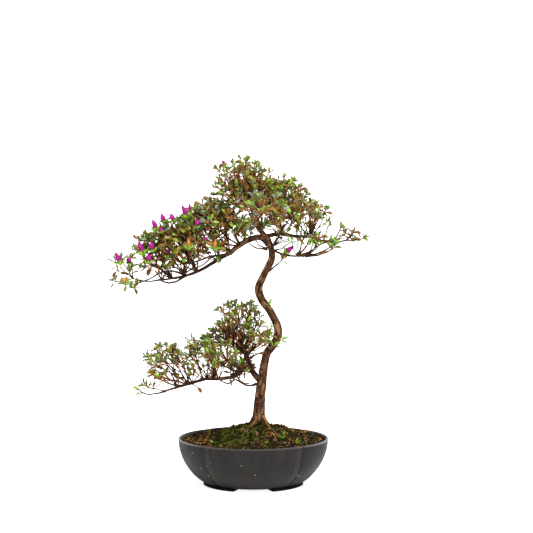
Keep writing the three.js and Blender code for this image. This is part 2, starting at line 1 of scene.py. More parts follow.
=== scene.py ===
import bpy
import numpy as np
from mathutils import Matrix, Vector


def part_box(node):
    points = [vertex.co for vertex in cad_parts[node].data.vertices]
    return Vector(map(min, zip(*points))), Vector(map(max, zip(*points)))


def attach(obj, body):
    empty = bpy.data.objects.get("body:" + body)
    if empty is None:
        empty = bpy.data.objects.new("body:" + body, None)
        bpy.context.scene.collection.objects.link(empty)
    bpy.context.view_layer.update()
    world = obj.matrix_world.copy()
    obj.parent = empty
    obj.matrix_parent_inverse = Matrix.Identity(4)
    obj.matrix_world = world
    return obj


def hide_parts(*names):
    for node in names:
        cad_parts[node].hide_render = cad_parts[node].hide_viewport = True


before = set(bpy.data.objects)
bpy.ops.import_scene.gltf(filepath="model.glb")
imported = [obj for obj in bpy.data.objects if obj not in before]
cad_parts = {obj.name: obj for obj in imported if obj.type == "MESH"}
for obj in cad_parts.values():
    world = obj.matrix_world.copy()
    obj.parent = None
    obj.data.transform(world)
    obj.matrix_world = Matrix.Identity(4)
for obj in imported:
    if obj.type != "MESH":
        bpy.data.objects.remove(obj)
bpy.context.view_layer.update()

potLow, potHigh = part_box("pot")
potMiddle = np.array([(potLow.x + potHigh.x) / 2, (potLow.y + potHigh.y) / 2, 0.0])
up = np.array([0.0, 0.0, 1.0])
fullTurn = 2 * np.pi


# Shapes are worked out in millimetres from the middle of the pot's foot.
def toFrame(points):
    return np.asarray(points, float) * 0.001 + potMiddle


def unit(vectors):
    return vectors / np.maximum(np.linalg.norm(vectors, axis=-1, keepdims=True), 1e-9)


def mix(a, b, share):
    return a + (b - a) * share


# Three coordinates, each a number or an array, as points.
def xyz(x, y, z):
    return np.stack(np.broadcast_arrays(x, y, z), axis=-1)


# Even angles for a full turn.
def evenTurns(count):
    return np.linspace(0, fullTurn, count, endpoint=False)


# A bell: 1 in the middle, falling as the square of the distance.
def bell(away):
    return np.exp(-(away**2))


# Quads between neighbouring rows of a grid whose last column meets its first.
def gridFaces(rows, columns):
    row = np.arange(rows - 1)[:, None] * columns
    column = np.arange(columns)[None, :]
    after = (column + 1) % columns
    corners = [row + column, row + after, row + columns + after, row + columns + column]
    return np.stack(corners, -1).reshape(-1, 4)


# A skin over rings, each counter-clockwise as seen from the last, shut at both ends by a point.
def closedSkin(rings, start, end):
    rows, columns = rings.shape[:2]
    points = np.vstack([rings.reshape(-1, 3), start, end])
    column = np.arange(columns)
    after = (column + 1) % columns
    last = (rows - 1) * columns
    pole = np.full(columns, rows * columns)
    fans = [np.stack([pole, after, column], -1), np.stack([pole + 1, last + column, last + after], -1)]
    return points, [gridFaces(rows, columns), np.concatenate(fans)]


# The same faces for many shapes whose points follow one another in equal runs.
def repeatFaces(faces, count, size):
    shift = np.arange(count)[:, None, None] * size
    return [(f[None] + shift).reshape(-1, f.shape[1]) for f in faces]


# Several shapes as one list of points and faces.
def joined(shapes):
    points, faces, total = [], [], 0
    for shapePoints, shapeFaces in shapes:
        points.append(shapePoints)
        faces += [f + total for f in shapeFaces]
        total += len(shapePoints)
    return np.concatenate(points), faces


# A round profile carried along many paths at once. Each ring lies square to its path, with a side
# that is square to a guide too: straight up for level paths and straight back for steep ones.
def tubes(paths, radii, sides):
    count, steps = paths.shape[:2]
    along = unit(np.gradient(paths, axis=1))
    whole = paths[:, -1] - paths[:, 0]
    level = np.abs(whole[:, 2]) < 0.7 * np.linalg.norm(whole, axis=1)
    guide = np.where(level[:, None], up, [0.0, 1.0, 0.0])[:, None]
    side = unit(np.cross(along, guide))[:, :, None]
    over = np.cross(along, side[:, :, 0])[:, :, None]
    turn = evenTurns(sides)[:, None]
    rings = paths[:, :, None] + radii[:, :, None, None] * (np.cos(turn) * side + np.sin(turn) * over)
    points = np.concatenate([rings.reshape(count, -1, 3), paths[:, :1], paths[:, -1:]], axis=1)
    faces = closedSkin(rings[0], paths[0, 0], paths[0, -1])[1]
    return points.reshape(-1, 3), repeatFaces(faces, count, points.shape[1])


# Copies of one small shape: sized along its own three axes, turned to each set of axes, moved.
def copies(shape, faces, places, axes, sizes):
    points = places[:, None] + np.einsum("nmi,nij->nmj", shape[None] * sizes[:, None], axes)
    return points.reshape(-1, 3), repeatFaces(faces, len(places), len(shape))


# Axes for copies: the second runs along a direction and the third looks the given way.
def axesAlong(direction, look):
    along = unit(direction)
    across = unit(np.cross(along, look))
    return np.stack([across, along, np.cross(across, along)], axis=1)


# Soft random heights from -1 to 1: each corner of a lattice has a number scrambled from its place,
# and the eight corners round a point are blended by smooth steps.
def cloud(points, cell, seed):
    grid = np.asarray(points, float) / cell + 100.0
    corner = np.floor(grid).astype(np.int64)
    part = grid - corner
    part = part * part * (3 - 2 * part)
    total = 0
    for offset in np.ndindex(2, 2, 2):
        mixed = (corner + offset) @ np.array([73856093, 19349663, 83492791]) + seed * 1274126177
        mixed = (mixed ^ (mixed >> 13)) * 1540483477 & 0xFFFFFFFF
        mixed = (mixed ^ (mixed >> 15)) * 2246822519 & 0xFFFFFFFF
        weight = np.where(np.array(offset, bool), part, 1 - part).prod(axis=-1)
        total = total + weight * (mixed / 0x7FFFFFFF - 1)
    return total


# Lumps of several sizes: a sum of clouds, each with its height and its cell.
def lumps(points, clouds, seed):
    return sum(height * cloud(points, cell, seed + i) for i, (height, cell) in enumerate(clouds))


# Centripetal Catmull-Rom: between two points a cubic whose end slopes come from the neighbours,
# each stretch timed by the root of its length, then stepped evenly along its own length.
def smoothPath(corners, count):
    knots = np.asarray(corners, float)
    knots = np.vstack([2 * knots[0] - knots[1], knots, 2 * knots[-1] - knots[-2]])
    time = np.sqrt(np.linalg.norm(np.diff(knots, axis=0), axis=1))[:, None]
    before, start, end, after = knots[:-3], knots[1:-2], knots[2:-1], knots[3:]
    t0, t1, t2 = time[:-2], time[1:-1], time[2:]
    leave = ((start - before) / t0 - (end - before) / (t0 + t1) + (end - start) / t1) * t1
    arrive = ((end - start) / t1 - (after - start) / (t1 + t2) + (after - end) / t2) * t1
    t = np.linspace(0, 1, 40, endpoint=False)[None, :, None]
    start, end, leave, arrive = (v[:, None] for v in (start, end, leave, arrive))
    fine = (
        (2 * t**3 - 3 * t**2 + 1) * start
        + (t**3 - 2 * t**2 + t) * leave
        + (3 * t**2 - 2 * t**3) * end
        + (t**3 - t**2) * arrive
    )
    fine = np.vstack([fine.reshape(-1, 3), knots[-2]])
    length = np.concatenate([[0], np.cumsum(np.linalg.norm(np.diff(fine, axis=0), axis=1))])
    even = np.linspace(0, length[-1], count)
    return np.stack([np.interp(even, length, fine[:, i]) for i in range(3)], axis=1)


def addObject(name, data):
    made = bpy.data.objects.new(name, data)
    bpy.context.scene.collection.objects.link(made)
    return made


# A finished piece. faceSlots gives each face's material; marks are numbers or vectors kept at the
# points for the materials to read.
def buildPiece(name, shape, materials, slot, nodes=(), faceSlots=None, smooth=True, **marks):
    points, faces = shape
    mesh = bpy.data.meshes.new(name)
    counts = np.concatenate([np.full(len(f), f.shape[1]) for f in faces])
    corners = np.concatenate([f.ravel() for f in faces])
    mesh.vertices.add(len(points))
    mesh.vertices.foreach_set("co", toFrame(points).astype(np.float32).ravel())
    mesh.loops.add(len(corners))
    mesh.loops.foreach_set("vertex_index", corners.astype(np.int32))
    mesh.polygons.add(len(counts))
    mesh.polygons.foreach_set("loop_start", (np.cumsum(counts) - counts).astype(np.int32))
    mesh.update(calc_edges=True)
    mesh.polygons.foreach_set("use_smooth", np.full(len(counts), smooth))
    for material in materials:
        mesh.materials.append(material)
    if faceSlots is not None:
        mesh.polygons.foreach_set("material_index", faceSlots.astype(np.int32))
    for mark, values in marks.items():
        vector = values.ndim == 2
        layer = mesh.attributes.new(mark, "FLOAT_VECTOR" if vector else "FLOAT", "POINT")
        layer.data.foreach_set("vector" if vector else "value", values.astype(np.float32).ravel())
    piece = addObject(name, mesh)
    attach(piece, "root")
    if nodes:
        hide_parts(*nodes)
    print(name, len(points), "points", int((counts - 2).sum()), "triangles")
    return piece


# Materials

def addNode(tree, kind, inputs=(), **settings):
    node = tree.nodes.new(kind)
    for key, value in settings.items():
        setattr(node, key, value)
    for socket, value in dict(inputs).items():
        if isinstance(value, bpy.types.NodeSocket):
            tree.links.new(value, node.inputs[socket])
        else:
            node.inputs[socket].default_value = value
    return node


def addGroup(name, inputs, outputs):
    tree = bpy.data.node_groups.new(name, "ShaderNodeTree")
    for label, value in inputs.items():
        kind = "NodeSocketVector" if value is None else "NodeSocketFloat"
        socket = tree.interface.new_socket(name=label, in_out="INPUT", socket_type=kind)
        if value is not None:
            socket.default_value = value
    for label in outputs:
        tree.interface.new_socket(name=label, in_out="OUTPUT", socket_type="NodeSocketFloat")
    return tree, tree.nodes.new("NodeGroupInput").outputs, tree.nodes.new("NodeGroupOutput")


def mathNode(tree, operation, a, b=0.0, clamp=False):
    return addNode(tree, "ShaderNodeMath", {0: a, 1: b}, operation=operation, use_clamp=clamp).outputs[0]


def ramp(tree, value, low, high):
    node = addNode(tree, "ShaderNodeMapRange", {"Value": value, "From Min": low, "From Max": high})
    return node.outputs["Result"]


def noise(tree, vector, scale, detail, **inputs):
    inputs.update(Vector=vector, Scale=scale, Detail=detail)
    return addNode(tree, "ShaderNodeTexNoise", inputs).outputs[0]


# Soft uneven patches, with a finer grain for the bump.
def makeMottle():
    tree, given, result = addGroup(
        "mottle", {"Vector": None, "Scale": 40.0, "Grain": 400.0}, ["Patches", "Grain"]
    )
    broad = noise(tree, given["Vector"], given["Scale"], 4.0, Roughness=0.6)
    fine = noise(tree, given["Vector"], given["Grain"], 3.0, Roughness=0.6)
    tree.links.new(ramp(tree, broad, 0.34, 0.66), result.inputs["Patches"])
    tree.links.new(fine, result.inputs["Grain"])
    return tree


# Small scattered spots of dust and dirt: cells that are kept where a broad noise is high.
def makeSpecks():
    tree, given, result = addGroup(
        "specks", {"Vector": None, "Scale": 90.0, "Size": 0.12, "Spread": 0.56}, ["Specks"]
    )
    cells = addNode(tree, "ShaderNodeTexVoronoi", {"Vector": given["Vector"], "Scale": given["Scale"]})
    broad = noise(tree, given["Vector"], 23.0, 2.0)
    spot = mathNode(tree, "LESS_THAN", cells.outputs["Distance"], given["Size"])
    where = mathNode(tree, "GREATER_THAN", broad, given["Spread"])
    tree.links.new(mathNode(tree, "MULTIPLY", spot, where), result.inputs["Specks"])
    return tree


# Bark: long plates along the limb, from a noise squeezed along it, with flaking patches over them.
def makeBarkGrain():
    tree, given, result = addGroup(
        "barkGrain", {"Vector": None, "Scale": 260.0, "Stretch": 0.36}, ["Plates", "Flakes", "Spots"]
    )
    stretch = addNode(tree, "ShaderNodeCombineXYZ", {0: 1.0, 1: 1.0, 2: given["Stretch"]}).outputs[0]
    squeezed = addNode(
        tree, "ShaderNodeVectorMath", {0: given["Vector"], 1: stretch}, operation="MULTIPLY"
    ).outputs[0]
    plates = noise(tree, squeezed, given["Scale"], 6.0, Roughness=0.65)
    flakes = noise(tree, squeezed, 115.0, 3.0, Distortion=0.6)
    spots = noise(tree, squeezed, 185.0, 2.0)
    tree.links.new(ramp(tree, spots, 0.55, 0.66), result.inputs["Spots"])
    tree.links.new(ramp(tree, plates, 0.36, 0.64), result.inputs["Plates"])
    tree.links.new(ramp(tree, flakes, 0.49, 0.62), result.inputs["Flakes"])
    return tree


mottle, specks, barkGrain = makeMottle(), makeSpecks(), makeBarkGrain()


def place(tree, group, **inputs):
    return addNode(tree, "ShaderNodeGroup", inputs, node_tree=group).outputs


# A share of the way from one colour to another, each a colour's socket or its three numbers.
def blendColour(tree, share, a, b):
    a, b = ((*colour, 1.0) if isinstance(colour, tuple) else colour for colour in (a, b))
    return addNode(tree, "ShaderNodeMix", {0: share, 6: a, 7: b}, data_type="RGBA").outputs[2]


def newMaterial(name, **settings):
    material = bpy.data.materials.new(name)
    material.use_nodes = True
    tree = material.node_tree
    shader = tree.nodes["Principled BSDF"]
    for socket, value in settings.items():
        shader.inputs[socket.replace("_", " ")].default_value = value
    return material, tree, shader


def objectPlace(tree):
    return addNode(tree, "ShaderNodeTexCoord").outputs["Object"]


def attribute(tree, name, output="Fac"):
    return addNode(tree, "ShaderNodeAttribute", attribute_name=name).outputs[output]


def bump(tree, shader, height, distance, strength=1.0):
    inputs = {"Height": height, "Distance": distance, "Strength": strength}
    tree.links.new(addNode(tree, "ShaderNodeBump", inputs).outputs[0], shader.inputs["Normal"])


# A finish with soft patches of two colours, used wherever a surface needs no pattern of its own.
def mottledMaterial(name, dark, light, scale, grain, depth, roughness, sheen=0.12, **settings):
    uneven = 0.08  # roughness either way
    material, tree, shader = newMaterial(name, Specular_IOR_Level=sheen, **settings)
    patches = place(tree, mottle, Vector=objectPlace(tree), Scale=scale, Grain=grain)
    tree.links.new(blendColour(tree, patches["Patches"], dark, light), shader.inputs["Base Color"])
    inputs = {"Value": patches["Grain"], "To Min": roughness - uneven, "To Max": roughness + uneven}
    tree.links.new(addNode(tree, "ShaderNodeMapRange", inputs).outputs[0], shader.inputs["Roughness"])
    bump(tree, shader, patches["Grain"], depth)
    return material


def makePotPlastic(name, sheen):
    look = dict(
        dark=(0.006, 0.0048, 0.0042), light=(0.015, 0.0122, 0.0105), worn=(0.36, 0.37, 0.37),
        valley=(0.004, 0.0034, 0.003), dust=(0.34, 0.3, 0.16), streaks=0.009, smooth=0.4, uneven=0.14,
    )
    material, tree, shader = newMaterial(name, Specular_IOR_Level=sheen)
    where = objectPlace(tree)
    patches = place(tree, mottle, Vector=where, Scale=28.0, Grain=900.0)
    colour = blendColour(tree, patches["Patches"], look["dark"], look["light"])
    # Scuffs, and a painted highlight on the rim and ridges, with faint streaks, turn the plastic pale.
    scuffsAndHighlight = mathNode(tree, "MULTIPLY", attribute(tree, "worn"), ramp(tree, patches["Grain"], 0.3, 0.6))
    streaks = place(tree, barkGrain, Vector=where, Stretch=0.08)["Flakes"]
    scuffsAndHighlight = mathNode(tree, "MAXIMUM", scuffsAndHighlight, mathNode(tree, "MULTIPLY", streaks, look["streaks"]))
    colour = blendColour(tree, scuffsAndHighlight, colour, look["worn"])
    # Painted shade: the creases, the foot of the wall and the feet take the valley colour.
    colour = blendColour(tree, attribute(tree, "valley"), colour, look["valley"])
    dust = place(tree, specks, Vector=where, Scale=95.0, Size=0.11, Spread=0.57)["Specks"]
    tree.links.new(blendColour(tree, dust, colour, look["dust"]), shader.inputs["Base Color"])
    rough = mathNode(tree, "MULTIPLY_ADD", patches["Patches"], look["uneven"])
    rough.node.inputs[2].default_value = look["smooth"]
    tree.links.new(mathNode(tree, "MAXIMUM", rough, dust), shader.inputs["Roughness"])
    bump(tree, shader, patches["Grain"], 0.0002, 0.6)
    return material


# Bark reads the place that a point would have if its limb were straight, so the grain follows it.
def makeBark(name, dark, light, flake, scale, depth):
    look = dict(flakes=0.8, spots=0.85, hollow=0.3, mossy=(0.012, 0.014, 0.003))
    material, tree, shader = newMaterial(name, Roughness=0.85, Specular_IOR_Level=0.1)
    grain = place(tree, barkGrain, Vector=attribute(tree, "straight", "Vector"), Scale=scale)
    colour = blendColour(tree, grain["Plates"], dark, light)
    colour = blendColour(tree, mathNode(tree, "MULTIPLY", grain["Flakes"], look["flakes"]), colour, flake)
    colour = blendColour(tree, mathNode(tree, "MULTIPLY", grain["Spots"], look["spots"]), colour, dark)
    # Painted shade: the bark darkens towards a share of its dark colour by how deep in a furrow or pit a
    # point lies.
    colour = blendColour(tree, attribute(tree, "hollow"), colour, tuple(look["hollow"] * c for c in dark))
    colour = blendColour(tree, attribute(tree, "mossy"), colour, look["mossy"])
    tree.links.new(colour, shader.inputs["Base Color"])
    bump(tree, shader, grain["Plates"], depth)
    return material


# Pot: a bowl of four broad lobes that meet in narrow creases, a thin rim, and four low feet. The
# foot's section gives the share of the way outwards and the height.
pot = dict(
    halfLength=150.0, halfWidth=114.0, baseHalfLength=96.0, baseHalfWidth=73.5,
    height=94.0, foot=5.0, fullness=0.76, floor=5.0, wall=4.0, lobeDepth=4.5, lip=1.3,
    bunching=0.17, creaseShift=np.radians(2.8), valley=0.25,
    ridgeHeight=0.5, ridgeAway=np.radians(5.5), ridgeWidth=np.radians(1.8),
    columns=360, wallRows=44, wallPower=1.25, insideHeights=[92.7, 84, 72, 58, 46, 34, 24, 17, 12.5],
    footFrom=9.0, footTo=66.5, footInner=0.78, footOuter=1.05, footChamfer=2.0, footSunk=3.0,
    footSteps=24,
    footLow=[[0.0, 1.2], [0.1, 0.25], [0.2, 0.0], [0.8, 0.0], [0.9, 0.25], [1.0, 1.2]],
    drainRadius=9.0, drainOffset=45.0, drainSides=32, drainHeights=[-6.0, 20.0],
    # The rim and ridges carry scuffs with a painted highlight; the creases, the foot of the wall and the
    # feet carry painted shade.
    wornFront=0.12, wornPower=4, wornRidge=0.05, wornRidgeWidth=0.7,
    paintedShadeFrom=0.45, paintedShadeWidth=0.4, paintedShadeLow=0.7, paintedShadeHeight=5.0, paintedShadeFoot=0.9,
)


# Angles round the oval, closest together at the creases: an even angle, plus the bunching times
# the sine of four times it, with the creases moved towards the short sides.
def ovalAngles(columns):
    even = evenTurns(columns)
    bunched = even + pot["bunching"] * np.sin(4 * even)
    angle = bunched + pot["creaseShift"] * np.sin(2 * bunched)
    crease = 1 - np.abs(np.cos(2 * bunched)) ** pot["valley"]
    return bunched, angle, crease


# Share of the way from the base oval to the rim oval at a height.
def bowlShare(z):
    rise = np.clip((z - pot["foot"]) / (pot["height"] - pot["foot"]), 0, 1)
    return (1 - (1 - rise) ** 2) ** pot["fullness"]


# How many ridge widths an angle lies from the ridge beside its crease, on the side of the long wall.
def fromRidge(bunched):
    quarter = np.arccos(np.abs(np.cos(bunched)))  # 0 at the short sides, a quarter turn in front
    return (quarter - fullTurn / 8 - pot["ridgeAway"]) / pot["ridgeWidth"]


# A ring of the wall at a height, set in from the outside; the ridges stand out beside the creases.
def potRing(z, inset, columns, ridges=0.0):
    bunched, angle, crease = ovalAngles(columns)
    share = bowlShare(z)
    away = fromRidge(bunched)
    inward = inset + crease * pot["lobeDepth"] - ridges * pot["ridgeHeight"] * bell(away)
    x = (mix(pot["baseHalfLength"], pot["halfLength"], share) - inward) * np.cos(angle)
    y = (mix(pot["baseHalfWidth"], pot["halfWidth"], share) - inward) * np.sin(angle)
    return xyz(x, y, float(z))


# One foot: a bar with rounded lower edges carried round a part of the base oval, narrower below.
def footShape(mirrorX, mirrorY):
    rise = pot["foot"] + pot["footSunk"]
    high = [[1.0, rise / 2], [1.0, rise], [0.5, rise], [0.0, rise], [0.0, rise / 2]]
    out, z = np.array(pot["footLow"] + high).T
    chamfer = pot["footChamfer"] * z / rise
    along = np.linspace(0, 1, pot["footSteps"])[:, None]
    angle = np.radians(mix(pot["footFrom"] - chamfer, pot["footTo"] + chamfer, along))
    share = mix(pot["footInner"], pot["footOuter"], out)
    x = mirrorX * pot["baseHalfLength"] * share * np.cos(angle)
    y = mirrorY * pot["baseHalfWidth"] * share * np.sin(angle)
    rings = xyz(x, y, z)
    if mirrorX * mirrorY < 0:
        rings = rings[:, ::-1]
    return closedSkin(rings, rings[0].mean(axis=0), rings[-1].mean(axis=0))


# Each drain hole is cut by a round bar that stands through the floor.
def cutDrains(piece):
    turn = evenTurns(pot["drainSides"])
    for side in (-1, 1):
        middle = side * pot["drainOffset"]
        x, y = middle + pot["drainRadius"] * np.cos(turn), pot["drainRadius"] * np.sin(turn)
        rings = np.stack([xyz(x, y, z) for z in pot["drainHeights"]])
        points, faces = closedSkin(rings, *[[middle, 0.0, z] for z in pot["drainHeights"]])
        mesh = bpy.data.meshes.new("drain")
        mesh.from_pydata(toFrame(points).tolist(), [], [f for part in faces for f in part.tolist()])
        cutter = addObject("drain", mesh)
        hole = piece.modifiers.new("hole", "BOOLEAN")
        hole.operation, hole.solver, hole.object = "DIFFERENCE", "EXACT", cutter
        bpy.context.view_layer.update()
        cut = bpy.data.meshes.new_from_object(piece.evaluated_get(bpy.context.evaluated_depsgraph_get()))
        piece.modifiers.remove(hole)
        piece.data = cut
        bpy.data.objects.remove(cutter)
        bpy.data.meshes.remove(mesh)


# The bowl's rows run from the middle of the underside, out and up the wall, round the rim and down
# inside to the middle of the floor. The rim is scuffed and has a painted highlight, most at the short
# sides, and so do the ridges; painted shade darkens the creases, the foot of the wall and the feet.
def makePot(body, foot):
    columns, wall = pot["columns"], pot["wall"]
    base, top, lip = pot["foot"], pot["height"], pot["lip"]
    underside = potRing(base, 0, columns)
    flat = [underside * [s, s, 1] for s in (0.3, 0.55, 0.8, 0.97)]
    heights = base + (top - lip - base) * np.linspace(0, 1, pot["wallRows"]) ** pot["wallPower"]
    outside = [potRing(z, 0, columns, ridges=1.0) for z in heights[1:]]
    quarter = np.radians([30, 60, 90])
    rise, turnedIn = top - lip + lip * np.sin(quarter), lip * (1 - np.cos(quarter))
    outerEdge = [potRing(z, inset, columns) for z, inset in zip(rise, turnedIn)]
    innerEdge = [potRing(z, wall - inset, columns) for z, inset in zip(rise[::-1], turnedIn[::-1])]
    inside = [potRing(z, wall, columns) for z in pot["insideHeights"]]
    floorRing = potRing(base + pot["floor"], wall, columns)
    inner = [floorRing * [s, s, 1] for s in (0.96, 0.7, 0.4)]
    rings = np.array(flat + outside + outerEdge + innerEdge + inside + inner)
    bowl = closedSkin(rings, [0, 0, base], [0, 0, base + pot["floor"]])

    bunched, angle, crease = ovalAngles(columns)
    rows = np.arange(len(rings))[:, None]
    rim = len(flat) + len(outside)
    wallRows = (rows >= len(flat)) & (rows < rim)
    rimRows = (rows >= rim - 1) & (rows <= rim + len(outerEdge) + len(innerEdge))
    # Scuffs and a painted highlight: on the rim, least in front and most at the short sides, and faintly
    # along the ridges.
    ridge = pot["wornRidge"] * bell(fromRidge(bunched) / pot["wornRidgeWidth"])
    atRim = mix(pot["wornFront"], 1.0, np.cos(angle) ** pot["wornPower"])
    worn = np.where(rimRows, atRim, 0) + np.where(wallRows, ridge, 0)
    # Painted shade in the creases and in a band at the foot of the wall.
    low = pot["paintedShadeLow"] * np.clip(1 - (rings[..., 2] - base) / pot["paintedShadeHeight"], 0, 1)
    dark = np.maximum(np.clip((crease - pot["paintedShadeFrom"]) / pot["paintedShadeWidth"], 0, 1), low)
    dark = np.where(wallRows, dark, 0)

    shape = joined([bowl] + [footShape(x, y) for x in (1, -1) for y in (1, -1)])
    spare = np.zeros(len(shape[0]) - worn.size)
    poles = spare[:2]
    onFoot = np.arange(sum(len(f) for f in shape[1])) >= sum(len(f) for f in bowl[1])
    piece = buildPiece(
        "pot_bowl", shape, [body, foot], "pot", ["pot"], faceSlots=onFoot,
        worn=np.concatenate([worn.ravel(), spare]),
        # The feet take painted shade as well.
        valley=np.concatenate([dark.ravel(), poles, spare[2:] + pot["paintedShadeFoot"]]),
    )
    cutDrains(piece)


makePot(makePotPlastic("potPlastic", 0.24), makePotPlastic("footPlastic", 0.05))


# Soil: a mound round the trunk that falls to just under the rim, with clods, and over it crumbs,
# chips of bark and old leaves, and dry strands. Sizes are from the least to the largest.
soil = dict(
    edge=83.0, top=114.0, spread=72.0, plateau=25.0, broader=1.15, fall=2.4, bump=1.6,
    trunkX=10.0, trunkY=8.0, columns=300, rows=120, wallHeights=[14.0, 30.0, 50.0, 70.0, 80.0], low=13.0,
    clear=4.0, clods=42, clodLength=132.0, clodWidth=96.0, clodRadius=10.0, clodHeight=3.6, clodRagged=0.45,
    clodMoss=1.1, clodUneven=0.25, intoWall=0.2, innermost=0.02,
    grain=[[1.3, 9.0], [1.2, 3.6], [0.7, 1.7]],  # height and cell of each cloud
)
crumb = dict(
    count=4300, size=[0.7, 1.5], kinds=[0.75, 1.05, 1.75], kindShares=[0.5, 0.37, 0.13],
    stretch=[0.6, 1.5], dented=0.35, out=0.3, colours=[0.47, 0.37, 0.08, 0.08],
)
chip = dict(
    count=1280, reach=0.96, leftOf=-40, keptLeft=0.9, keptRight=0.3, tilt=0.25, roll=0.3, dented=0.2,
    out=0.7, width=[1.2, 2.6], length=[2.2, 5.6], thickness=[0.4, 0.8], colours=[0.38, 0.28, 0.22, 0.12],
)
strand = dict(
    count=340, steps=6, reach=0.93, bend=0.35, length=[5, 17], arch=3.0, out=0.4, radius=[0.25, 0.6],
    taper=[0.6, 1, 1, 1, 0.8, 0.4], colours=[0.45, 0.35, 0.2],
)


# Moss: a low cushion in front and to the left of the trunk, set with short upright shoots. Further
# shoots stray over the soil, more of them at the back and the left, and climb the trunk's foot.
moss = dict(
    x=-34.0, y=-34.0, halfLength=58.0, halfWidth=44.0, thickness=5.0, rim=0.8, sunk=8.0,
    columns=150, rows=52, lumps=[[2.0, 11.0], [1.2, 4.0]], bank=9.0, bankWidth=19.0,
    waves=[[0.1, 3, 1], [0.06, 7, 0]],  # how high, how many round the cushion and where they start
)
shoot = dict(
    count=9000, beyond=1.06, stray=5200, climbing=5000, climb=5.5, highest=19, sunk=0.5, straySunk=0.4,
    height=2.6, uneven=[0.5, 1.35], width=[0.5, 1.0], lean=0.38, halfLength=145, halfWidth=109,
    inside=0.97, patches=[-0.05, 0.22, 0.75], patchLumps=[[0.6, 18.0], [0.9, 5.0]], patchSlope=0.008,
    patchShaken=0.15, strayCell=22.0, straySlope=0.003, strayFrom=0.02, bareFrom=0.55, trunkSunk=0.3,
)


# How far a place lies from the middle of the moss: 1 at the edge of its oval.
def fromMoss(x, y):
    return np.hypot((x - moss["x"]) / moss["halfLength"], (y - moss["y"]) / moss["halfWidth"])


# Height of the soil: flat near the trunk, then falling off as one over one plus a power of the
# distance, with low waves over it.
def soilHeight(x, y):
    away = np.hypot((x - soil["trunkX"]) / soil["broader"], y - soil["trunkY"])
    beyond = np.maximum(away - soil["plateau"], 0)
    width = soil["spread"] - soil["plateau"]
    mound = (soil["top"] - soil["edge"]) / (1 + (beyond / width) ** soil["fall"])
    waves = np.sin(x / 9) * np.cos(y / 7) + np.sin((x + y) / 13)
    return soil["edge"] + mound + 0.5 * soil["bump"] * waves * np.minimum(1, beyond / 12)


# Clods lie at the golden angle over the oval, clear of the moss and of the trunk.
def clodPlaces():
    k = np.arange(soil["clods"])
    out = np.sqrt((k + 0.5) / soil["clods"])
    turn = k * np.pi * (3 - np.sqrt(5))
    x, y = soil["clodLength"] * out * np.cos(turn), soil["clodWidth"] * out * np.sin(turn)
    offTrunk = np.hypot(x - soil["trunkX"], y - soil["trunkY"]) > soil["plateau"] + soil["clodRadius"]
    kept = (fromMoss(x, y) > soil["clodMoss"]) & offTrunk
    return x[kept], y[kept], (1 + soil["clodUneven"] * np.sin(5 * k))[kept]


# The mound with its clods and a grain of three clouds. Each clod is a hump: its height times a
# raised cosine of the distance over its radius, with the distance made ragged by a cloud.
def roughSoil(x, y):
    at = xyz(x, y, 0 * x)
    ragged = 1 + soil["clodRagged"] * cloud(at, 5.0, 4)
    rise = 0
    for clodX, clodY, size in zip(*clodPlaces()):
        away = np.hypot(x - clodX, y - clodY) * ragged / (soil["clodRadius"] * size)
        hump = 0.5 + 0.5 * np.cos(np.pi * np.minimum(away, 1))
        rise = np.maximum(rise, soil["clodHeight"] * size * hump)
    return soilHeight(x, y) + rise + lumps(at, soil["grain"], 1)


# A random place on the soil, evenly over the oval: the root of a random number is the share of
# the way from the middle to the wall.
def soilPlaces(count, rng, reachShare=0.985):
    turn = rng.uniform(0, fullTurn, count)
    out = np.sqrt(rng.uniform(0, 1, count)) * reachShare
    x = out * (pot["halfLength"] - pot["wall"] - soil["clear"]) * np.cos(turn)
    y = out * (pot["halfWidth"] - pot["wall"] - soil["clear"]) * np.sin(turn)
    return x, y


# Rows run from inside the wall's foot up to the mound's edge, then in to the trunk.
def makeSoil(material):
    edge = potRing(soil["edge"], pot["wall"] - soil["intoWall"], soil["columns"])[:, :2]
    centre = np.array([soil["trunkX"], soil["trunkY"]])
    flat = centre + (edge - centre) * np.linspace(1, soil["innermost"], soil["rows"])[:, None, None]
    top = xyz(flat[..., 0], flat[..., 1], roughSoil(flat[..., 0], flat[..., 1]))
    wall = [potRing(z, pot["wall"] - soil["intoWall"] / 2, soil["columns"]) for z in soil["wallHeights"]]
    shape = closedSkin(np.concatenate([wall, top]), [0, 0, soil["low"]], [*centre, soil["top"]])
    buildPiece("soil_bed", shape, [material], "soil", ["soil"])


# A lump with twelve corners, as a small stone or crumb has.
golden = (1 + 5**0.5) / 2
lumpPoints = unit(np.array([
    (-1, golden, 0), (1, golden, 0), (-1, -golden, 0), (1, -golden, 0), (0, -1, golden), (0, 1, golden),
    (0, -1, -golden), (0, 1, -golden), (golden, 0, -1), (golden, 0, 1), (-golden, 0, -1), (-golden, 0, 1),
]))
lumpFaces = [np.array([
    (0, 11, 5), (0, 5, 1), (0, 1, 7), (0, 7, 10), (0, 10, 11), (1, 5, 9), (5, 11, 4), (11, 10, 2),
    (10, 7, 6), (7, 1, 8), (3, 9, 4), (3, 4, 2), (3, 2, 6), (3, 6, 8), (3, 8, 9), (4, 9, 5),
    (2, 4, 11), (6, 2, 10), (8, 6, 7), (9, 8, 1),
])]


# Lumps on the soil, with their corners pushed in and out by a share of their size.
def makeLumps(name, materials, rng, x, y, out, axes, sizes, dents, colours):
    places = xyz(x, y, roughSoil(x, y) + out)
    points, faces = copies(lumpPoints, lumpFaces, places, axes, sizes)
    points += np.repeat(dents, len(lumpPoints))[:, None] * rng.uniform(-1, 1, points.shape)
    shade = rng.choice(len(materials), len(x), p=colours)
    buildPiece(name, (points, faces), materials, "soil", smooth=False,
               faceSlots=np.repeat(shade, len(lumpFaces[0])))


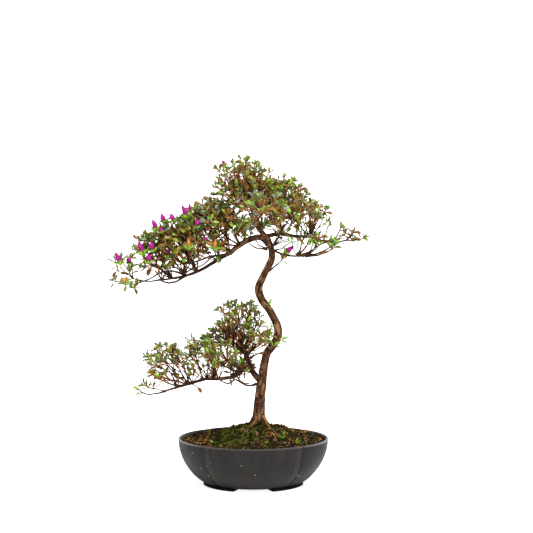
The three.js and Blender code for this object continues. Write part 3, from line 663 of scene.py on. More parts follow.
# Crumbs are lumps turned anyhow and sunk a third into the soil.
def makeCrumbs(materials):
    rng = np.random.default_rng(11)
    count = crumb["count"]
    x, y = soilPlaces(count, rng)
    size = rng.uniform(*crumb["size"], count) * rng.choice(crumb["kinds"], count, p=crumb["kindShares"])
    sizes = size[:, None] * rng.uniform(*crumb["stretch"], (count, 3))
    axes = axesAlong(rng.normal(size=(count, 3)), rng.normal(size=(count, 3)))
    makeLumps("soil_crumbs", materials, rng, x, y, crumb["out"] * size, axes, sizes,
              crumb["dented"] * size, crumb["colours"])


# Chips are lumps pressed thin that lie near level, more of them at the left.
def makeChips(materials):
    rng = np.random.default_rng(13)
    x, y = soilPlaces(chip["count"], rng, chip["reach"])
    kept = rng.random(len(x)) < np.where(x < chip["leftOf"], chip["keptLeft"], chip["keptRight"])
    x, y = x[kept], y[kept]
    count = len(x)
    turn = rng.uniform(0, fullTurn, count)
    direction = xyz(np.cos(turn), np.sin(turn), rng.normal(0, chip["tilt"], count))
    sizes = xyz(*[rng.uniform(*chip[side], count) for side in ("width", "length", "thickness")])
    axes = axesAlong(direction, up + rng.normal(0, chip["roll"], (count, 3)))
    makeLumps("soil_chips", materials, rng, x, y, chip["out"], axes, sizes,
              chip["dented"] * sizes[:, 0], chip["colours"])


# Thin dry strands that lie bent over the soil: each point of a strand is dropped on to it.
def makeStrands(materials):
    rng = np.random.default_rng(12)
    count, steps = strand["count"], strand["steps"]
    x, y = soilPlaces(count, rng, strand["reach"])
    heading = rng.uniform(0, fullTurn, count)[:, None]
    heading = heading + np.cumsum(rng.normal(0, strand["bend"], (count, steps)), axis=1)
    step = (rng.uniform(*strand["length"], count) / steps)[:, None]
    x = x[:, None] + np.cumsum(np.cos(heading) * step, axis=1)
    y = y[:, None] + np.cumsum(np.sin(heading) * step, axis=1)
    arch = np.sin(np.linspace(0, np.pi, steps)) * rng.uniform(0, strand["arch"], (count, 1))
    paths = xyz(x, y, roughSoil(x, y) + strand["out"] + arch)
    thick = rng.uniform(*strand["radius"], (count, 1)) * strand["taper"]
    points, faces = tubes(paths, thick, 4)
    shade = rng.choice(len(materials), count, p=strand["colours"])
    slots = np.concatenate([np.repeat(shade, len(f) // count) for f in faces])
    buildPiece("soil_strands", (points, faces), materials, "soil", faceSlots=slots)


# A loose earthy finish: its two colours, the size of its patches and its grain, and its depth.
def earthy(name, dark, light, scale=160, grain=900, depth=0.0004, roughness=0.9):
    return mottledMaterial(name, dark, light, scale, grain, depth, roughness)


crumbDark = earthy("crumbDark", (0.005, 0.0035, 0.0012), (0.017, 0.011, 0.004))
crumbBrown = earthy("crumbBrown", (0.03, 0.021, 0.004), (0.085, 0.056, 0.013))
crumbTan = earthy("crumbTan", (0.15, 0.088, 0.026), (0.34, 0.22, 0.075), roughness=0.88)
crumbRust = earthy("crumbRust", (0.16, 0.055, 0.013), (0.38, 0.155, 0.04), roughness=0.88)
soilEarth = earthy("soilEarth", (0.002, 0.0014, 0.0005), (0.02, 0.0145, 0.0035), 190, 1100, 0.0008, 0.92)
makeSoil(soilEarth)
makeCrumbs([crumbDark, crumbBrown, crumbTan, crumbRust])
makeChips([crumbRust, crumbBrown, crumbDark, crumbTan])
makeStrands([crumbBrown, crumbTan, crumbDark])


# The cushion's edge: 1 plus a sine for each set of waves round it.
def mossEdge(turn):
    return sum((height * np.sin(count * turn + start) for height, count, start in moss["waves"]), 1)


# Top of the cushion: the soil's height plus a round crown, with lumps of two sizes, and a bank
# against the trunk that falls with the square of the distance.
def mossHeight(x, y, share):
    at = xyz(x, y, 0 * x)
    crown = moss["rim"] + moss["thickness"] * np.sqrt(np.clip(1 - share**2, 0, 1))
    uneven = lumps(at, moss["lumps"], 5) * np.clip(1.6 - 1.4 * share, 0.2, 1)
    fromTrunk = (x - soil["trunkX"]) ** 2 + (y - soil["trunkY"]) ** 2
    bank = moss["bank"] * np.exp(-fromTrunk / moss["bankWidth"] ** 2)
    return soilHeight(x, y) + crown + uneven + bank


# Across and along for a share of the way out to the waved edge of the oval.
def mossPoint(share, turn):
    x = moss["x"] + moss["halfLength"] * share * mossEdge(turn) * np.cos(turn)
    y = moss["y"] + moss["halfWidth"] * share * mossEdge(turn) * np.sin(turn)
    return x, y


# Rows run from a ring sunk into the soil up and in to the middle of the cushion.
def makeMoss(material):
    turn = evenTurns(moss["columns"])[None, :]
    share = np.linspace(1, 0.02, moss["rows"])[:, None]
    x, y = mossPoint(share, turn)
    below = xyz(x[:1], y[:1], soilHeight(x[:1], y[:1]) - moss["sunk"])
    rings = np.concatenate([below, xyz(x, y, mossHeight(x, y, share))])
    low = [moss["x"], moss["y"], float(below[..., 2].mean())]
    high = [moss["x"], moss["y"], float(mossHeight(moss["x"], moss["y"], np.zeros(1))[0])]
    buildPiece("moss_cushion", closedSkin(rings, low, high), [material], "moss", ["moss"])


# Places on the foot of the trunk where moss climbs between the roots: fewer with the height, each on
# the trunk's surface at its angle, with the way out from there.
def trunkMoss(rng):
    turn = rng.uniform(0, fullTurn, shoot["climbing"])
    height = rng.exponential(shoot["climb"], shoot["climbing"]) - 1
    centre = np.array([soil["trunkX"], soil["trunkY"], 0]) + (trunk["ground"] + height)[:, None] * up
    kept = (rootShare(np.degrees(turn)) < shoot["bareFrom"]) & (height < shoot["highest"])
    away = xyz(-np.cos(turn), -np.sin(turn), 0.5)[kept]
    out = trunkRadius(0, turn, centre)[kept] - shoot["trunkSunk"]
    return centre[kept] + out[:, None] * away * [1, 1, 0], away


# Each shoot is a slim three-sided spike; most stand on the cushion, and stray ones on the soil.
def makeMossShoots(materials):
    rng = np.random.default_rng(21)
    share = np.sqrt(rng.uniform(0, shoot["beyond"], shoot["count"]))
    x, y = mossPoint(share, rng.uniform(0, fullTurn, shoot["count"]))
    z = np.where(share < 1, mossHeight(x, y, share), roughSoil(x, y))
    strayX, strayY = soilPlaces(shoot["stray"] * 3, rng)
    mossy = cloud(xyz(strayX, strayY, 0 * strayX), shoot["strayCell"], 9)
    mossy = mossy + shoot["straySlope"] * (strayY - strayX) > shoot["strayFrom"]
    strayX, strayY = strayX[mossy][: shoot["stray"]], strayY[mossy][: shoot["stray"]]
    stray = xyz(strayX, strayY, roughSoil(strayX, strayY) - shoot["straySunk"])
    places = np.concatenate([xyz(x, y, z - shoot["sunk"]), stray])
    out = (places[:, 0] / shoot["halfLength"]) ** 2 + (places[:, 1] / shoot["halfWidth"]) ** 2
    places = places[out < shoot["inside"]]
    climbing, outward = trunkMoss(rng)
    way = np.concatenate([np.tile(up, (len(places), 1)), outward])
    places = np.concatenate([places, climbing])
    count = len(places)
    spike = np.array([[0.5, 0, 0], [-0.25, 0, 0.43], [-0.25, 0, -0.43], [0, 1, 0]])
    faces = [np.array([[0, 1, 2], [0, 3, 1], [1, 3, 2], [2, 3, 0]])]
    lean = unit(rng.normal(0, shoot["lean"], (count, 3)) + way)
    height = shoot["height"] * rng.uniform(*shoot["uneven"], count)
    width, depth = rng.uniform(*shoot["width"], (2, count))
    axes = axesAlong(lean, rng.normal(size=(count, 3)))
    patch = lumps(places * [1, 1, 0], shoot["patchLumps"], 31)
    patch = patch - shoot["patchSlope"] * (places[:, 1] + 40) + rng.normal(0, shoot["patchShaken"], count)
    shade = np.digitize(patch, shoot["patches"])
    shape = copies(spike, faces, places, axes, xyz(width, height, depth))
    buildPiece("moss_shoots", shape, materials, "moss", smooth=False, faceSlots=np.repeat(shade, 4))


mossBed = earthy("mossBed", (0.002, 0.002, 0.0005), (0.018, 0.018, 0.0025), 110, 1200, 0.0012, 0.95)
mossDeep = earthy("mossDeep", (0.004, 0.0055, 0.0008), (0.015, 0.018, 0.0016), 300, 1500, 0.0002)
mossOlive = earthy("mossOlive", (0.05, 0.047, 0.004), (0.1, 0.092, 0.008), 300, 1500, 0.0002)
mossBright = earthy("mossBright", (0.1, 0.13, 0.008), (0.17, 0.2, 0.012), 300, 1500, 0.0002, 0.85)
mossDry = earthy("mossDry", (0.16, 0.12, 0.035), (0.24, 0.19, 0.06), 300, 1500, 0.0002)
makeMoss(mossBed)


# Trunk: one winding stem whose bark has long plates and furrows, spreading into roots at its foot.
# Radii are at shares of the length, each root has an angle, a size and a width in degrees, and each
# knot a height, an angle and a radius.
trunk = dict(
    path=[
        [10, 8, 95], [11, 8, 145], [15.5, 6, 190], [20, 3, 228], [27, -2, 264], [46, -6, 292],
        [49.5, -5, 312], [37, 0, 343], [15, 7, 375], [11, 8, 394], [23.5, 4, 426], [37, -2, 456],
        [30, -4, 488], [8, 0, 518], [-6, 5, 558],
    ],
    radii=[
        [0, 10.8], [0.12, 10.4], [0.22, 9.4], [0.3, 8.0], [0.5, 7.7], [0.66, 7.1], [0.84, 6.5], [1, 2.6],
    ],
    flare=7.0, flareHeight=15.0, ground=114.3,
    roots=[[198, 12.0, 17], [262, 8.0, 14], [322, 13.0, 15], [20, 8.0, 17], [58, 9.0, 13], [140, 10.0, 14]],
    bare=1, lowest=101, rootHeight=0.62, mossHeight=8.5, mossTop=2.1, mossRagged=0.8, mossiest=0.95,
    knots=[[179, 88, 2.4], [158, 104, 1.7], [145, 62, 2.2], [341, 70, 2.4], [233, 60, 1.8], [206, 126, 1.6],
           [272, 116, 2.0], [402, 100, 1.8], [441, 70, 1.7]],
    sides=72, steps=520, furrow=0.75, coarse=5.0,
)
relief = dict(
    drawn=0.34, plateDrawn=1.8, plateCell=0.45, swellCell=3.2, ridges=0.7, plates=0.45, swells=1.1,
    pit=1.4, pitDrawn=0.7, pitShade=1.1, raised=0.7, raisedAt=1.3, raisedWidth=0.5, deepestShade=0.92,
)


# An angle in degrees from another, within half a turn either way.
def turnedFrom(turn, angle):
    return (turn - angle + 180) % 360 - 180


# Relief of the bark at each point of a straightened limb: ridges of a cloud drawn out along the limb,
# finer plates, and broad swells.
def barkRelief(straight, coarse, seed):
    drawn = straight * [1, 1, relief["drawn"]]
    ridges = 2 * (1 - np.abs(cloud(drawn, coarse, seed)) - 0.6)
    plates = cloud(drawn * [1, 1, relief["plateDrawn"]], coarse * relief["plateCell"], seed + 1)
    return ridges, plates, cloud(straight, coarse * relief["swellCell"], seed + 2)


# A limb with relief: rings square to the path, whose radius is a function of the share of the
# length and the angle round it. knots are pits with a raised lip: a pit falls as the square of the
# distance over its radius. Also gives each point's place on the straightened limb, in metres, and
# how much painted shade it takes for lying deep in a furrow or pit.
def limbShape(path, radius, sides, depth, coarse, seed, knots=()):
    along = unit(np.gradient(path, axis=0))
    whole = unit(path[-1] - path[0])
    guide = up if abs(whole[2]) < 0.8 else np.array([0.0, 1.0, 0.0])
    side = unit(np.cross(along, guide))
    over = np.cross(along, side)
    turn = evenTurns(sides)
    length = np.concatenate([[0], np.cumsum(np.linalg.norm(np.diff(path, axis=0), axis=1))])
    base = radius(length[:, None] / length[-1], turn[None, :], path[:, None, :])
    straight = xyz(base * np.cos(turn), base * np.sin(turn), length[:, None])
    ridges, plates, swells = barkRelief(straight, coarse, seed)
    thick = base + depth * (relief["ridges"] * ridges + relief["plates"] * plates)
    thick = thick + relief["swells"] * depth * swells
    pits = np.zeros_like(base)
    for height, angle, size in knots:
        across = base * np.radians(turnedFrom(np.degrees(turn)[None], angle))
        away = np.hypot(relief["pitDrawn"] * (path[:, 2:] - height), across) / size
        pits = np.maximum(pits, bell(away))
        thick = thick + relief["raised"] * bell((away - relief["raisedAt"]) / relief["raisedWidth"])
    thick = thick - relief["pit"] * pits
    turned = np.cos(turn)[None, :, None] * side[:, None] + np.sin(turn)[None, :, None] * over[:, None]
    points, faces = closedSkin(path[:, None] + thick[..., None] * turned, path[0], path[-1])
    # Painted shade, deepest in the knots' pits and in the furrows between ridges and plates.
    hollow = relief["pitShade"] * pits - relief["ridges"] * ridges - relief["plates"] * plates
    hollow = np.clip(hollow, 0, relief["deepestShade"])
    ends = straight[[0, -1], 0] * [0, 0, 1]
    straight = np.vstack([straight.reshape(-1, 3), ends]) * 0.001
    return (points, faces), straight, np.append(hollow.ravel(), [0, 0])


# The foot widens as a falling power of the height, and more in narrow bumps, the roots.
def trunkRadius(share, turn, centre):
    shares, radii = np.array(trunk["radii"]).T
    height = np.maximum(0, centre[..., 2] - trunk["ground"])
    spread = trunk["flare"] * np.exp(-height / trunk["flareHeight"])
    low = np.exp(-height / (trunk["rootHeight"] * trunk["flareHeight"]))
    for angle, size, width in trunk["roots"]:
        spread = spread + size * bell(turnedFrom(np.degrees(turn), angle) / width) * low
    return np.interp(share, shares, radii) + spread


# How much of a bare root, one of the last ones, lies at an angle in degrees: a falling square each.
def rootShare(turn):
    roots = trunk["roots"][-trunk["bare"]:]
    share = sum(bell(turnedFrom(turn, angle) / width) for angle, _, width in roots)
    return np.clip(share, 0, 1)


# Moss climbs the foot between the bare roots, ragged by a cloud.
def makeTrunk(material):
    path = smoothPath(trunk["path"], trunk["steps"])
    path = path[path[:, 2] > trunk["lowest"]]
    shape, straight, hollow = limbShape(
        path, trunkRadius, trunk["sides"], trunk["furrow"], trunk["coarse"], 40, trunk["knots"]
    )
    around = shape[0] - [*trunk["path"][0][:2], trunk["ground"]]
    turn = np.degrees(np.arctan2(-around[:, 1], -around[:, 0]))
    climb = trunk["mossTop"] - around[:, 2] / trunk["mossHeight"]
    climb = climb + trunk["mossRagged"] * cloud(shape[0], 4.0, 45)
    mossy = np.clip((1.0 - 0.9 * rootShare(turn)) * np.clip(climb, 0, 1), 0, trunk["mossiest"])
    buildPiece("trunk_bark", shape, [material], "bark", ["trunk"],
               straight=straight, hollow=hollow, mossy=mossy)


barkBrown = makeBark(
    "barkBrown", (0.014, 0.006, 0.003), (0.16, 0.07, 0.03), (0.43, 0.21, 0.1), 330.0, 0.0012
)
makeTrunk(barkBrown)
makeMossShoots([mossDeep, mossOlive, mossBright, mossDry])


# A limb: its radius at the base and at the tip, and the corners of its path. Some twigs end in a
# spray of leaves, and some say where among the leaf colours it lies.
def limb(base, tip, *path, spray=0, colour=-1):
    return dict(path=path, radius=[base, tip], spray=spray, colour=colour)


# Boughs: each springs from inside the limb that carries it and tapers to the tip where its
# foliage starts.
boughs = dict(
    first_branch=limb(6.5, 4.4, [18, 4, 205], [2, 2, 222], [-9, 0, 245], [-17, -2, 270]),
    low_left_bough=limb(
        4.4, 2.0, [-6, 1, 236], [-20, -5, 237], [-35, -8, 221], [-64, -6, 214], [-95, -4, 213],
        [-126, -2, 203], [-176, 0, 188]
    ),
    low_mid_bough=limb(2.6, 1.4, [-13, -1, 260], [-36, 10, 280], [-62, 18, 284], [-86, 24, 282]),
    low_back_bough=limb(2.6, 1.4, [-8, 0, 243], [-16, 26, 256], [-34, 54, 268]),
    low_front_bough=limb(2.2, 1.4, [-29, -7, 229], [-42, -26, 236], [-58, -44, 246]),
    left_bough=limb(
        6.3, 4.8, [31, -4, 485], [14, -4, 496], [-3, -6, 493], [-28, -8, 480], [-46, -9, 465]
    ),
    left_bough_outer=limb(
        4.2, 1.9, [-44, -9, 467], [-73, -8, 450], [-111, -4, 428], [-150, 0, 416], [-184, 0, 411]
    ),
    left_bough_tip=limb(1.8, 1.2, [-182, 0, 411], [-212, 0, 409], [-238, 0, 414]),
    left_side_bough=limb(2.6, 1.4, [-54, -8, 461], [-82, 8, 457], [-107, 22, 448], [-131, 34, 440]),
    left_back_bough=limb(3.0, 1.5, [4, 1, 525], [-28, 30, 522], [-70, 60, 512]),
    right_bough=limb(
        4.3, 2.4, [22, -3, 497], [52, -2, 503], [82, -4, 498], [114, -4, 497], [130, -4, 490],
        [152, -2, 487]
    ),
    right_low_bough=limb(
        2.4, 1.4, [35, -3, 474], [47, -8, 467], [66, -16, 461], [84, -22, 460], [104, -26, 461]
    ),
    right_back_bough=limb(3.0, 1.5, [6, 0, 521], [36, 28, 523], [72, 56, 530]),
    front_bough=limb(2.8, 1.5, [14, -1, 510], [16, -34, 512], [18, -66, 522]),
    back_bough=limb(2.8, 1.5, [1, 2, 532], [4, 38, 536], [8, 72, 542]),
)
bough = dict(
    sides=22, step=1.6, wander=1.1, wanderCell=26.0, collar=0.45, collarLength=6.0, joint=0.16,
    jointCell=13.0, relief=0.055, leastRelief=0.06, coarse=3.4,
)


# Bare roots that come down from the foot of the trunk into the moss.
rootRidges = dict(
    left=limb(3.4, 3.2, [5, -7, 127], [-2, -14, 122], [-10, -21, 114], [-17, -29, 102]),
    right=limb(3.7, 2.8, [19, 0, 137], [25, -5, 128], [31, -10, 117], [39, -15, 103]),
    behind=limb(4.4, 3.2, [16, 14, 132], [24, 22, 122], [36, 34, 106]),
)


# Each bough swells where it leaves its limb and at small knots where side twigs have been.
def makeBoughs(name, limbs, material, nodes=()):
    shapes, straights, hollows = [], [], []
    for number, one in enumerate(limbs.values()):
        base, tip = one["radius"]
        length = np.linalg.norm(np.diff(smoothPath(one["path"], 60), axis=0), axis=1).sum()
        path = smoothPath(one["path"], int(length / bough["step"]))
        wander = cloud(path + 37 * number, bough["wanderCell"], 50) * bough["wander"]
        wander = wander * np.minimum(1, np.linspace(0, 4, len(path)))
        path = path + wander[:, None] * [0, 1, 0.7]

        def radius(share, turn, centre):
            collar = bough["collar"] * base * np.exp(-share * length / bough["collarLength"])
            joint = bough["joint"] * np.maximum(0, cloud(centre, bough["jointCell"], 52)) ** 2
            return (mix(base, tip, share) * (1 + joint) + collar) + 0 * turn

        depth = bough["relief"] * base + bough["leastRelief"]
        shape, straight, hollow = limbShape(
            path, radius, bough["sides"], depth, bough["coarse"], 60 + number
        )
        shapes.append(shape)
        straights.append(straight + [0, 0, number * 0.7])
        hollows.append(hollow)
    buildPiece(
        name, joined(shapes), [material], "bark", nodes,
        straight=np.concatenate(straights), hollow=np.concatenate(hollows),
    )


barkDark = makeBark(
    "barkDark", (0.016, 0.007, 0.004), (0.1, 0.045, 0.023), (0.2, 0.105, 0.057), 420.0, 0.0007
)
makeBoughs("bough_bark", boughs, barkDark, list(boughs))


# Foliage masses: where each one's stem springs from, the middle and half sizes of its own space,
# the number of coarse tips, the radius of its stem, and how many times as many tips the finer twigs
# make. The order gives each mass its seed.
def foliage(start, at, half, tips, stem, finer):
    return dict(start=start, at=at, half=half, tips=tips, stem=stem, finer=finer)


masses = dict(
    crown_top=foliage([-6, 5, 558], [-19, 4, 591], [64, 58, 62], 16, 2.6, 9),
    crown_right_top=foliage([54, -2, 503], [56, 0, 570], [44, 46, 52], 11, 2.3, 9),
    crown_right=foliage([112, -4, 497], [116, 0, 532], [37, 42, 42], 9, 1.9, 4.4),
    right_tip=foliage([152, -2, 487], [192, -2, 491], [37, 16, 16], 3, 1.5, 1.8),
    right_low=foliage([104, -26, 461], [134, -30, 482], [32, 22, 22], 4, 1.3, 1.6),
    crown_left=foliage([-26, -8, 481], [-80, 0, 522], [50, 44, 47], 11, 2.3, 10),
    left_mid=foliage([-111, -4, 428], [-148, -6, 488], [46, 36, 46], 10, 2.2, 9),
    left_outer=foliage([-160, 0, 414], [-204, -3, 464], [36, 32, 42], 8, 1.9, 7),
    left_tip=foliage([-238, 0, 414], [-260, 0, 432], [26, 24, 36], 5, 1.2, 1.7),
    left_side=foliage([-131, 34, 440], [-150, 48, 474], [42, 30, 36], 6, 1.4, 7),
    crown_front=foliage([18, -66, 522], [20, -84, 549], [54, 42, 36], 8, 1.5, 6),
    crown_back=foliage([8, 72, 542], [8, 88, 566], [56, 42, 42], 8, 1.5, 9),
    back_left=foliage([-70, 60, 512], [-90, 72, 532], [44, 36, 36], 6, 1.5, 8),
    back_right=foliage([72, 56, 530], [88, 66, 548], [42, 36, 36], 5, 1.5, 9),
    low_top=foliage([-17, -2, 270], [-26, 0, 325], [46, 40, 47], 10, 2.3, 8),
    low_mid=foliage([-80, -5, 213], [-94, -8, 257], [42, 30, 40], 8, 1.5, 7),
    low_outer=foliage([-128, -2, 202], [-174, -2, 241], [46, 34, 40], 9, 1.7, 7),
    low_tip=foliage([-176, 0, 188], [-212, 0, 188], [32, 14, 13], 2, 1.2, 1.5),
    low_inner=foliage([-2, 2, 226], [-28, 14, 230], [28, 18, 22], 3, 1.3, 9),
    low_back_left=foliage([-86, 24, 282], [-98, 38, 272], [38, 28, 26], 4, 1.4, 6),
    low_back=foliage([-34, 54, 268], [-48, 66, 290], [44, 30, 30], 5, 1.4, 6),
    low_front=foliage([-58, -44, 246], [-68, -54, 270], [38, 26, 28], 5, 1.4, 5),
    low_right=foliage([-15, -1, 263], [14, -26, 290], [28, 20, 24], 4, 1.5, 6),
    trunk_spray=foliage([25, 5, 354], [29, -7, 361], [12, 12, 12], 1, 1.4, 1),
    elbow_spray=foliage([48, -5, 292], [58, -9, 292], [12, 12, 12], 1, 1.5, 1),
    bud_twig=foliage([26, 4, 424], [58, 0, 452], [18, 12, 20], 1, 1.4, 1),
    left_inner=foliage([-70, -8, 452], [-84, -14, 480], [36, 24, 24], 5, 1.6, 6),
    left_tip_low=foliage([-222, 0, 411], [-256, -6, 400], [26, 16, 16], 3, 1.1, 1.2),
    crown_inner=foliage([-14, -7, 488], [-14, -4, 512], [28, 20, 22], 4, 1.8, 6),
)
twig = dict(
    tipRadius=0.95, directness=0.5, joints=[0.4, 0.6, 0.8], lowest=-0.2, outermost=0.84,
    innerDepth=0.34, sag=0.1, ahead=0.62, kept=0.38, steps=7, sides=6, kink=0.03, kinkCell=7.0,
    finerLowest=-0.9, finerDeeper=1.2, finerDirectness=0.86, finerOutermost=0.97, finerInnerDepth=0.6,
    overlap=0.3, limbReach=1.2, limbStep=7.0, limbWay=6.0, stemShare=1.15, taper=0.8, foot=0.35,
    sideSteps=14, sideSides=7, wander=1.3, wanderCell=6.0, sideFoot=0.8,
    fanShaken=5, fanDeep=0.4, fanBend=0.12,
)


# Three numbers from 0 to 1 that spread evenly as the count goes up, different for each seed.
def evenNumbers(seed, count):
    steps = np.array([0.8191725134, 0.6710436067, 0.5497004779])
    return (0.5 + seed * 0.3819660113 * np.arange(1, 4) + np.arange(count)[:, None] * steps) % 1


# How far out points lie in each mass's space: 0 in its middle and 1 on its edge.
def reach(points):
    at = np.array([m["at"] for m in masses.values()], float)
    half = np.array([m["half"] for m in masses.values()], float)
    return np.linalg.norm((points[:, None] - at) / half, axis=-1)


# Tips of a mass: the first number is the height on a ball, the second the turn round it and the
# third how deep inside it the tip ends. A tip in a neighbour's space is left out.
def tipPlaces(number, mass, count):
    height, turn, depth = evenNumbers(number + 1, count).T
    finer = np.arange(count) >= mass["tips"]
    cosine = 1 - height * (1 - np.where(finer, twig["finerLowest"], twig["lowest"]))
    sine = np.sqrt(1 - cosine**2)
    out = twig["outermost"] - twig["innerDepth"] * depth**2
    out = np.where(finer, twig["finerOutermost"] - twig["finerInnerDepth"] * depth**1.5, out)
    ball = xyz(sine * np.cos(turn * fullTurn), sine * np.sin(turn * fullTurn), cosine)
    ball[:, 2] *= np.where(finer & (cosine < 0), twig["finerDeeper"], 1)
    tips = np.array(mass["at"]) + np.array(mass["half"]) * out[:, None] * ball
    if mass["tips"] == 1:
        tips[0] = mass["at"]
    far = reach(tips)
    nearest = np.where(np.arange(len(masses)) == number, np.inf, far).min(axis=1)
    inside = far[:, number] <= np.where(finer, twig["limbReach"], 1)
    own = inside & (far[:, number] < nearest + np.where(finer, twig["overlap"], 0))
    return tips, own


# A bent twig is a curve through its start, its bend and its end, weighted by the squares.
def twigPoint(start, bend, end, share):
    return (1 - share) ** 2 * start + 2 * share * (1 - share) * bend + share**2 * end


# The source's rule, carried on: the coarse tips first, in order of their distance from the stem,
# then the finer ones. Each twig springs from the place on an earlier one that is nearest to its
# end, with half of the way from the stem added. It leaves between its own way and the other's.
def growTwigs(number, mass):
    coarseCount = mass["tips"]
    tips, own = tipPlaces(number, mass, int(round(coarseCount * mass["finer"])))
    order = []
    for chosen in (range(coarseCount), range(coarseCount, len(tips))):
        kept = [k for k in chosen if own[k]]
        order += sorted(kept, key=lambda k: np.linalg.norm(tips[k] - mass["start"]))
    stem = np.array(mass["start"], float)
    starts, bends, ends, parents = [], [], [], []
    spots, ways, owners = [stem], [0.0], [(-1, 0.0)]
    coarseKept = sum(k < coarseCount for k in order)
    for count, end in enumerate(tips[order]):
        if count == coarseKept:  # the finer ones may spring from the limbs near by as well
            near = limbSpots[reach(limbSpots)[:, number] < twig["limbReach"]]
            spots += list(near)
            ways += [twig["limbWay"]] * len(near)
            owners += [(-1, 0.0)] * len(near)
        directness = twig["directness"] if count < coarseKept else twig["finerDirectness"]
        cost = np.linalg.norm(np.array(spots) - end, axis=1) + directness * np.array(ways)
        best = int(cost.argmin()) if starts else 0
        start, (parent, share) = spots[best], owners[best]
        away = end - start
        length = np.linalg.norm(away)
        if parent < 0:
            lead = away / length
        else:
            lead = unit(mix(bends[parent] - starts[parent], ends[parent] - bends[parent], share))
        lead = unit(twig["ahead"] * away / length + twig["kept"] * lead)
        bend = start + 0.5 * length * lead - twig["sag"] * length * up
        for joint in twig["joints"]:
            spots.append(twigPoint(start, bend, end, joint))
            ways.append(ways[best] + joint * length)
            owners.append((len(starts), joint))
        starts.append(start)
        bends.append(bend)
        ends.append(end)
        parents.append(parent)
    carried = np.ones(len(starts))
    for i in range(len(starts) - 1, 0, -1):
        if parents[i] >= 0:
            carried[parents[i]] += carried[i]
    return np.array(starts), np.array(bends), np.array(ends), carried


# Three clouds, one for each axis, that push points about.
def shake(points, cell, seed):
    return np.stack([cloud(points + axis * 50, cell, seed + axis) for axis in range(3)], axis=-1)


# Twigs of one mass: thicker with the number of tips that they carry, up to the stem's radius.
def massTwigs(number, mass):
    starts, bends, ends, carried = growTwigs(number, mass)
    stem = twig["stemShare"] * mass["stem"]
    power = np.log(stem / twig["tipRadius"]) / np.log(max(carried.max(), 2.0))
    thick = twig["tipRadius"] * carried**power
    thick[0] = stem
    share = np.linspace(0, 1, twig["steps"])
    along = share[None, :, None]
    paths = twigPoint(starts[:, None], bends[:, None], ends[:, None], along)
    length = np.linalg.norm(ends - starts, axis=1)[:, None, None]
    kink = shake(paths, twig["kinkCell"], 70) * (twig["kink"] * length)
    radii = mix(thick[:, None], twig["tipRadius"], share[None, :] ** twig["taper"])
    return paths + kink * np.sin(np.pi * along), radii * (1 + twig["foot"] * np.exp(-6 * share))


# Places along a limb that finer twigs may spring from.
def limbPlaces(corners):
    path = smoothPath(corners, 400)
    steps = max(2, int(np.linalg.norm(np.diff(path, axis=0), axis=1).sum() / twig["limbStep"]))
    return smoothPath(corners, steps)


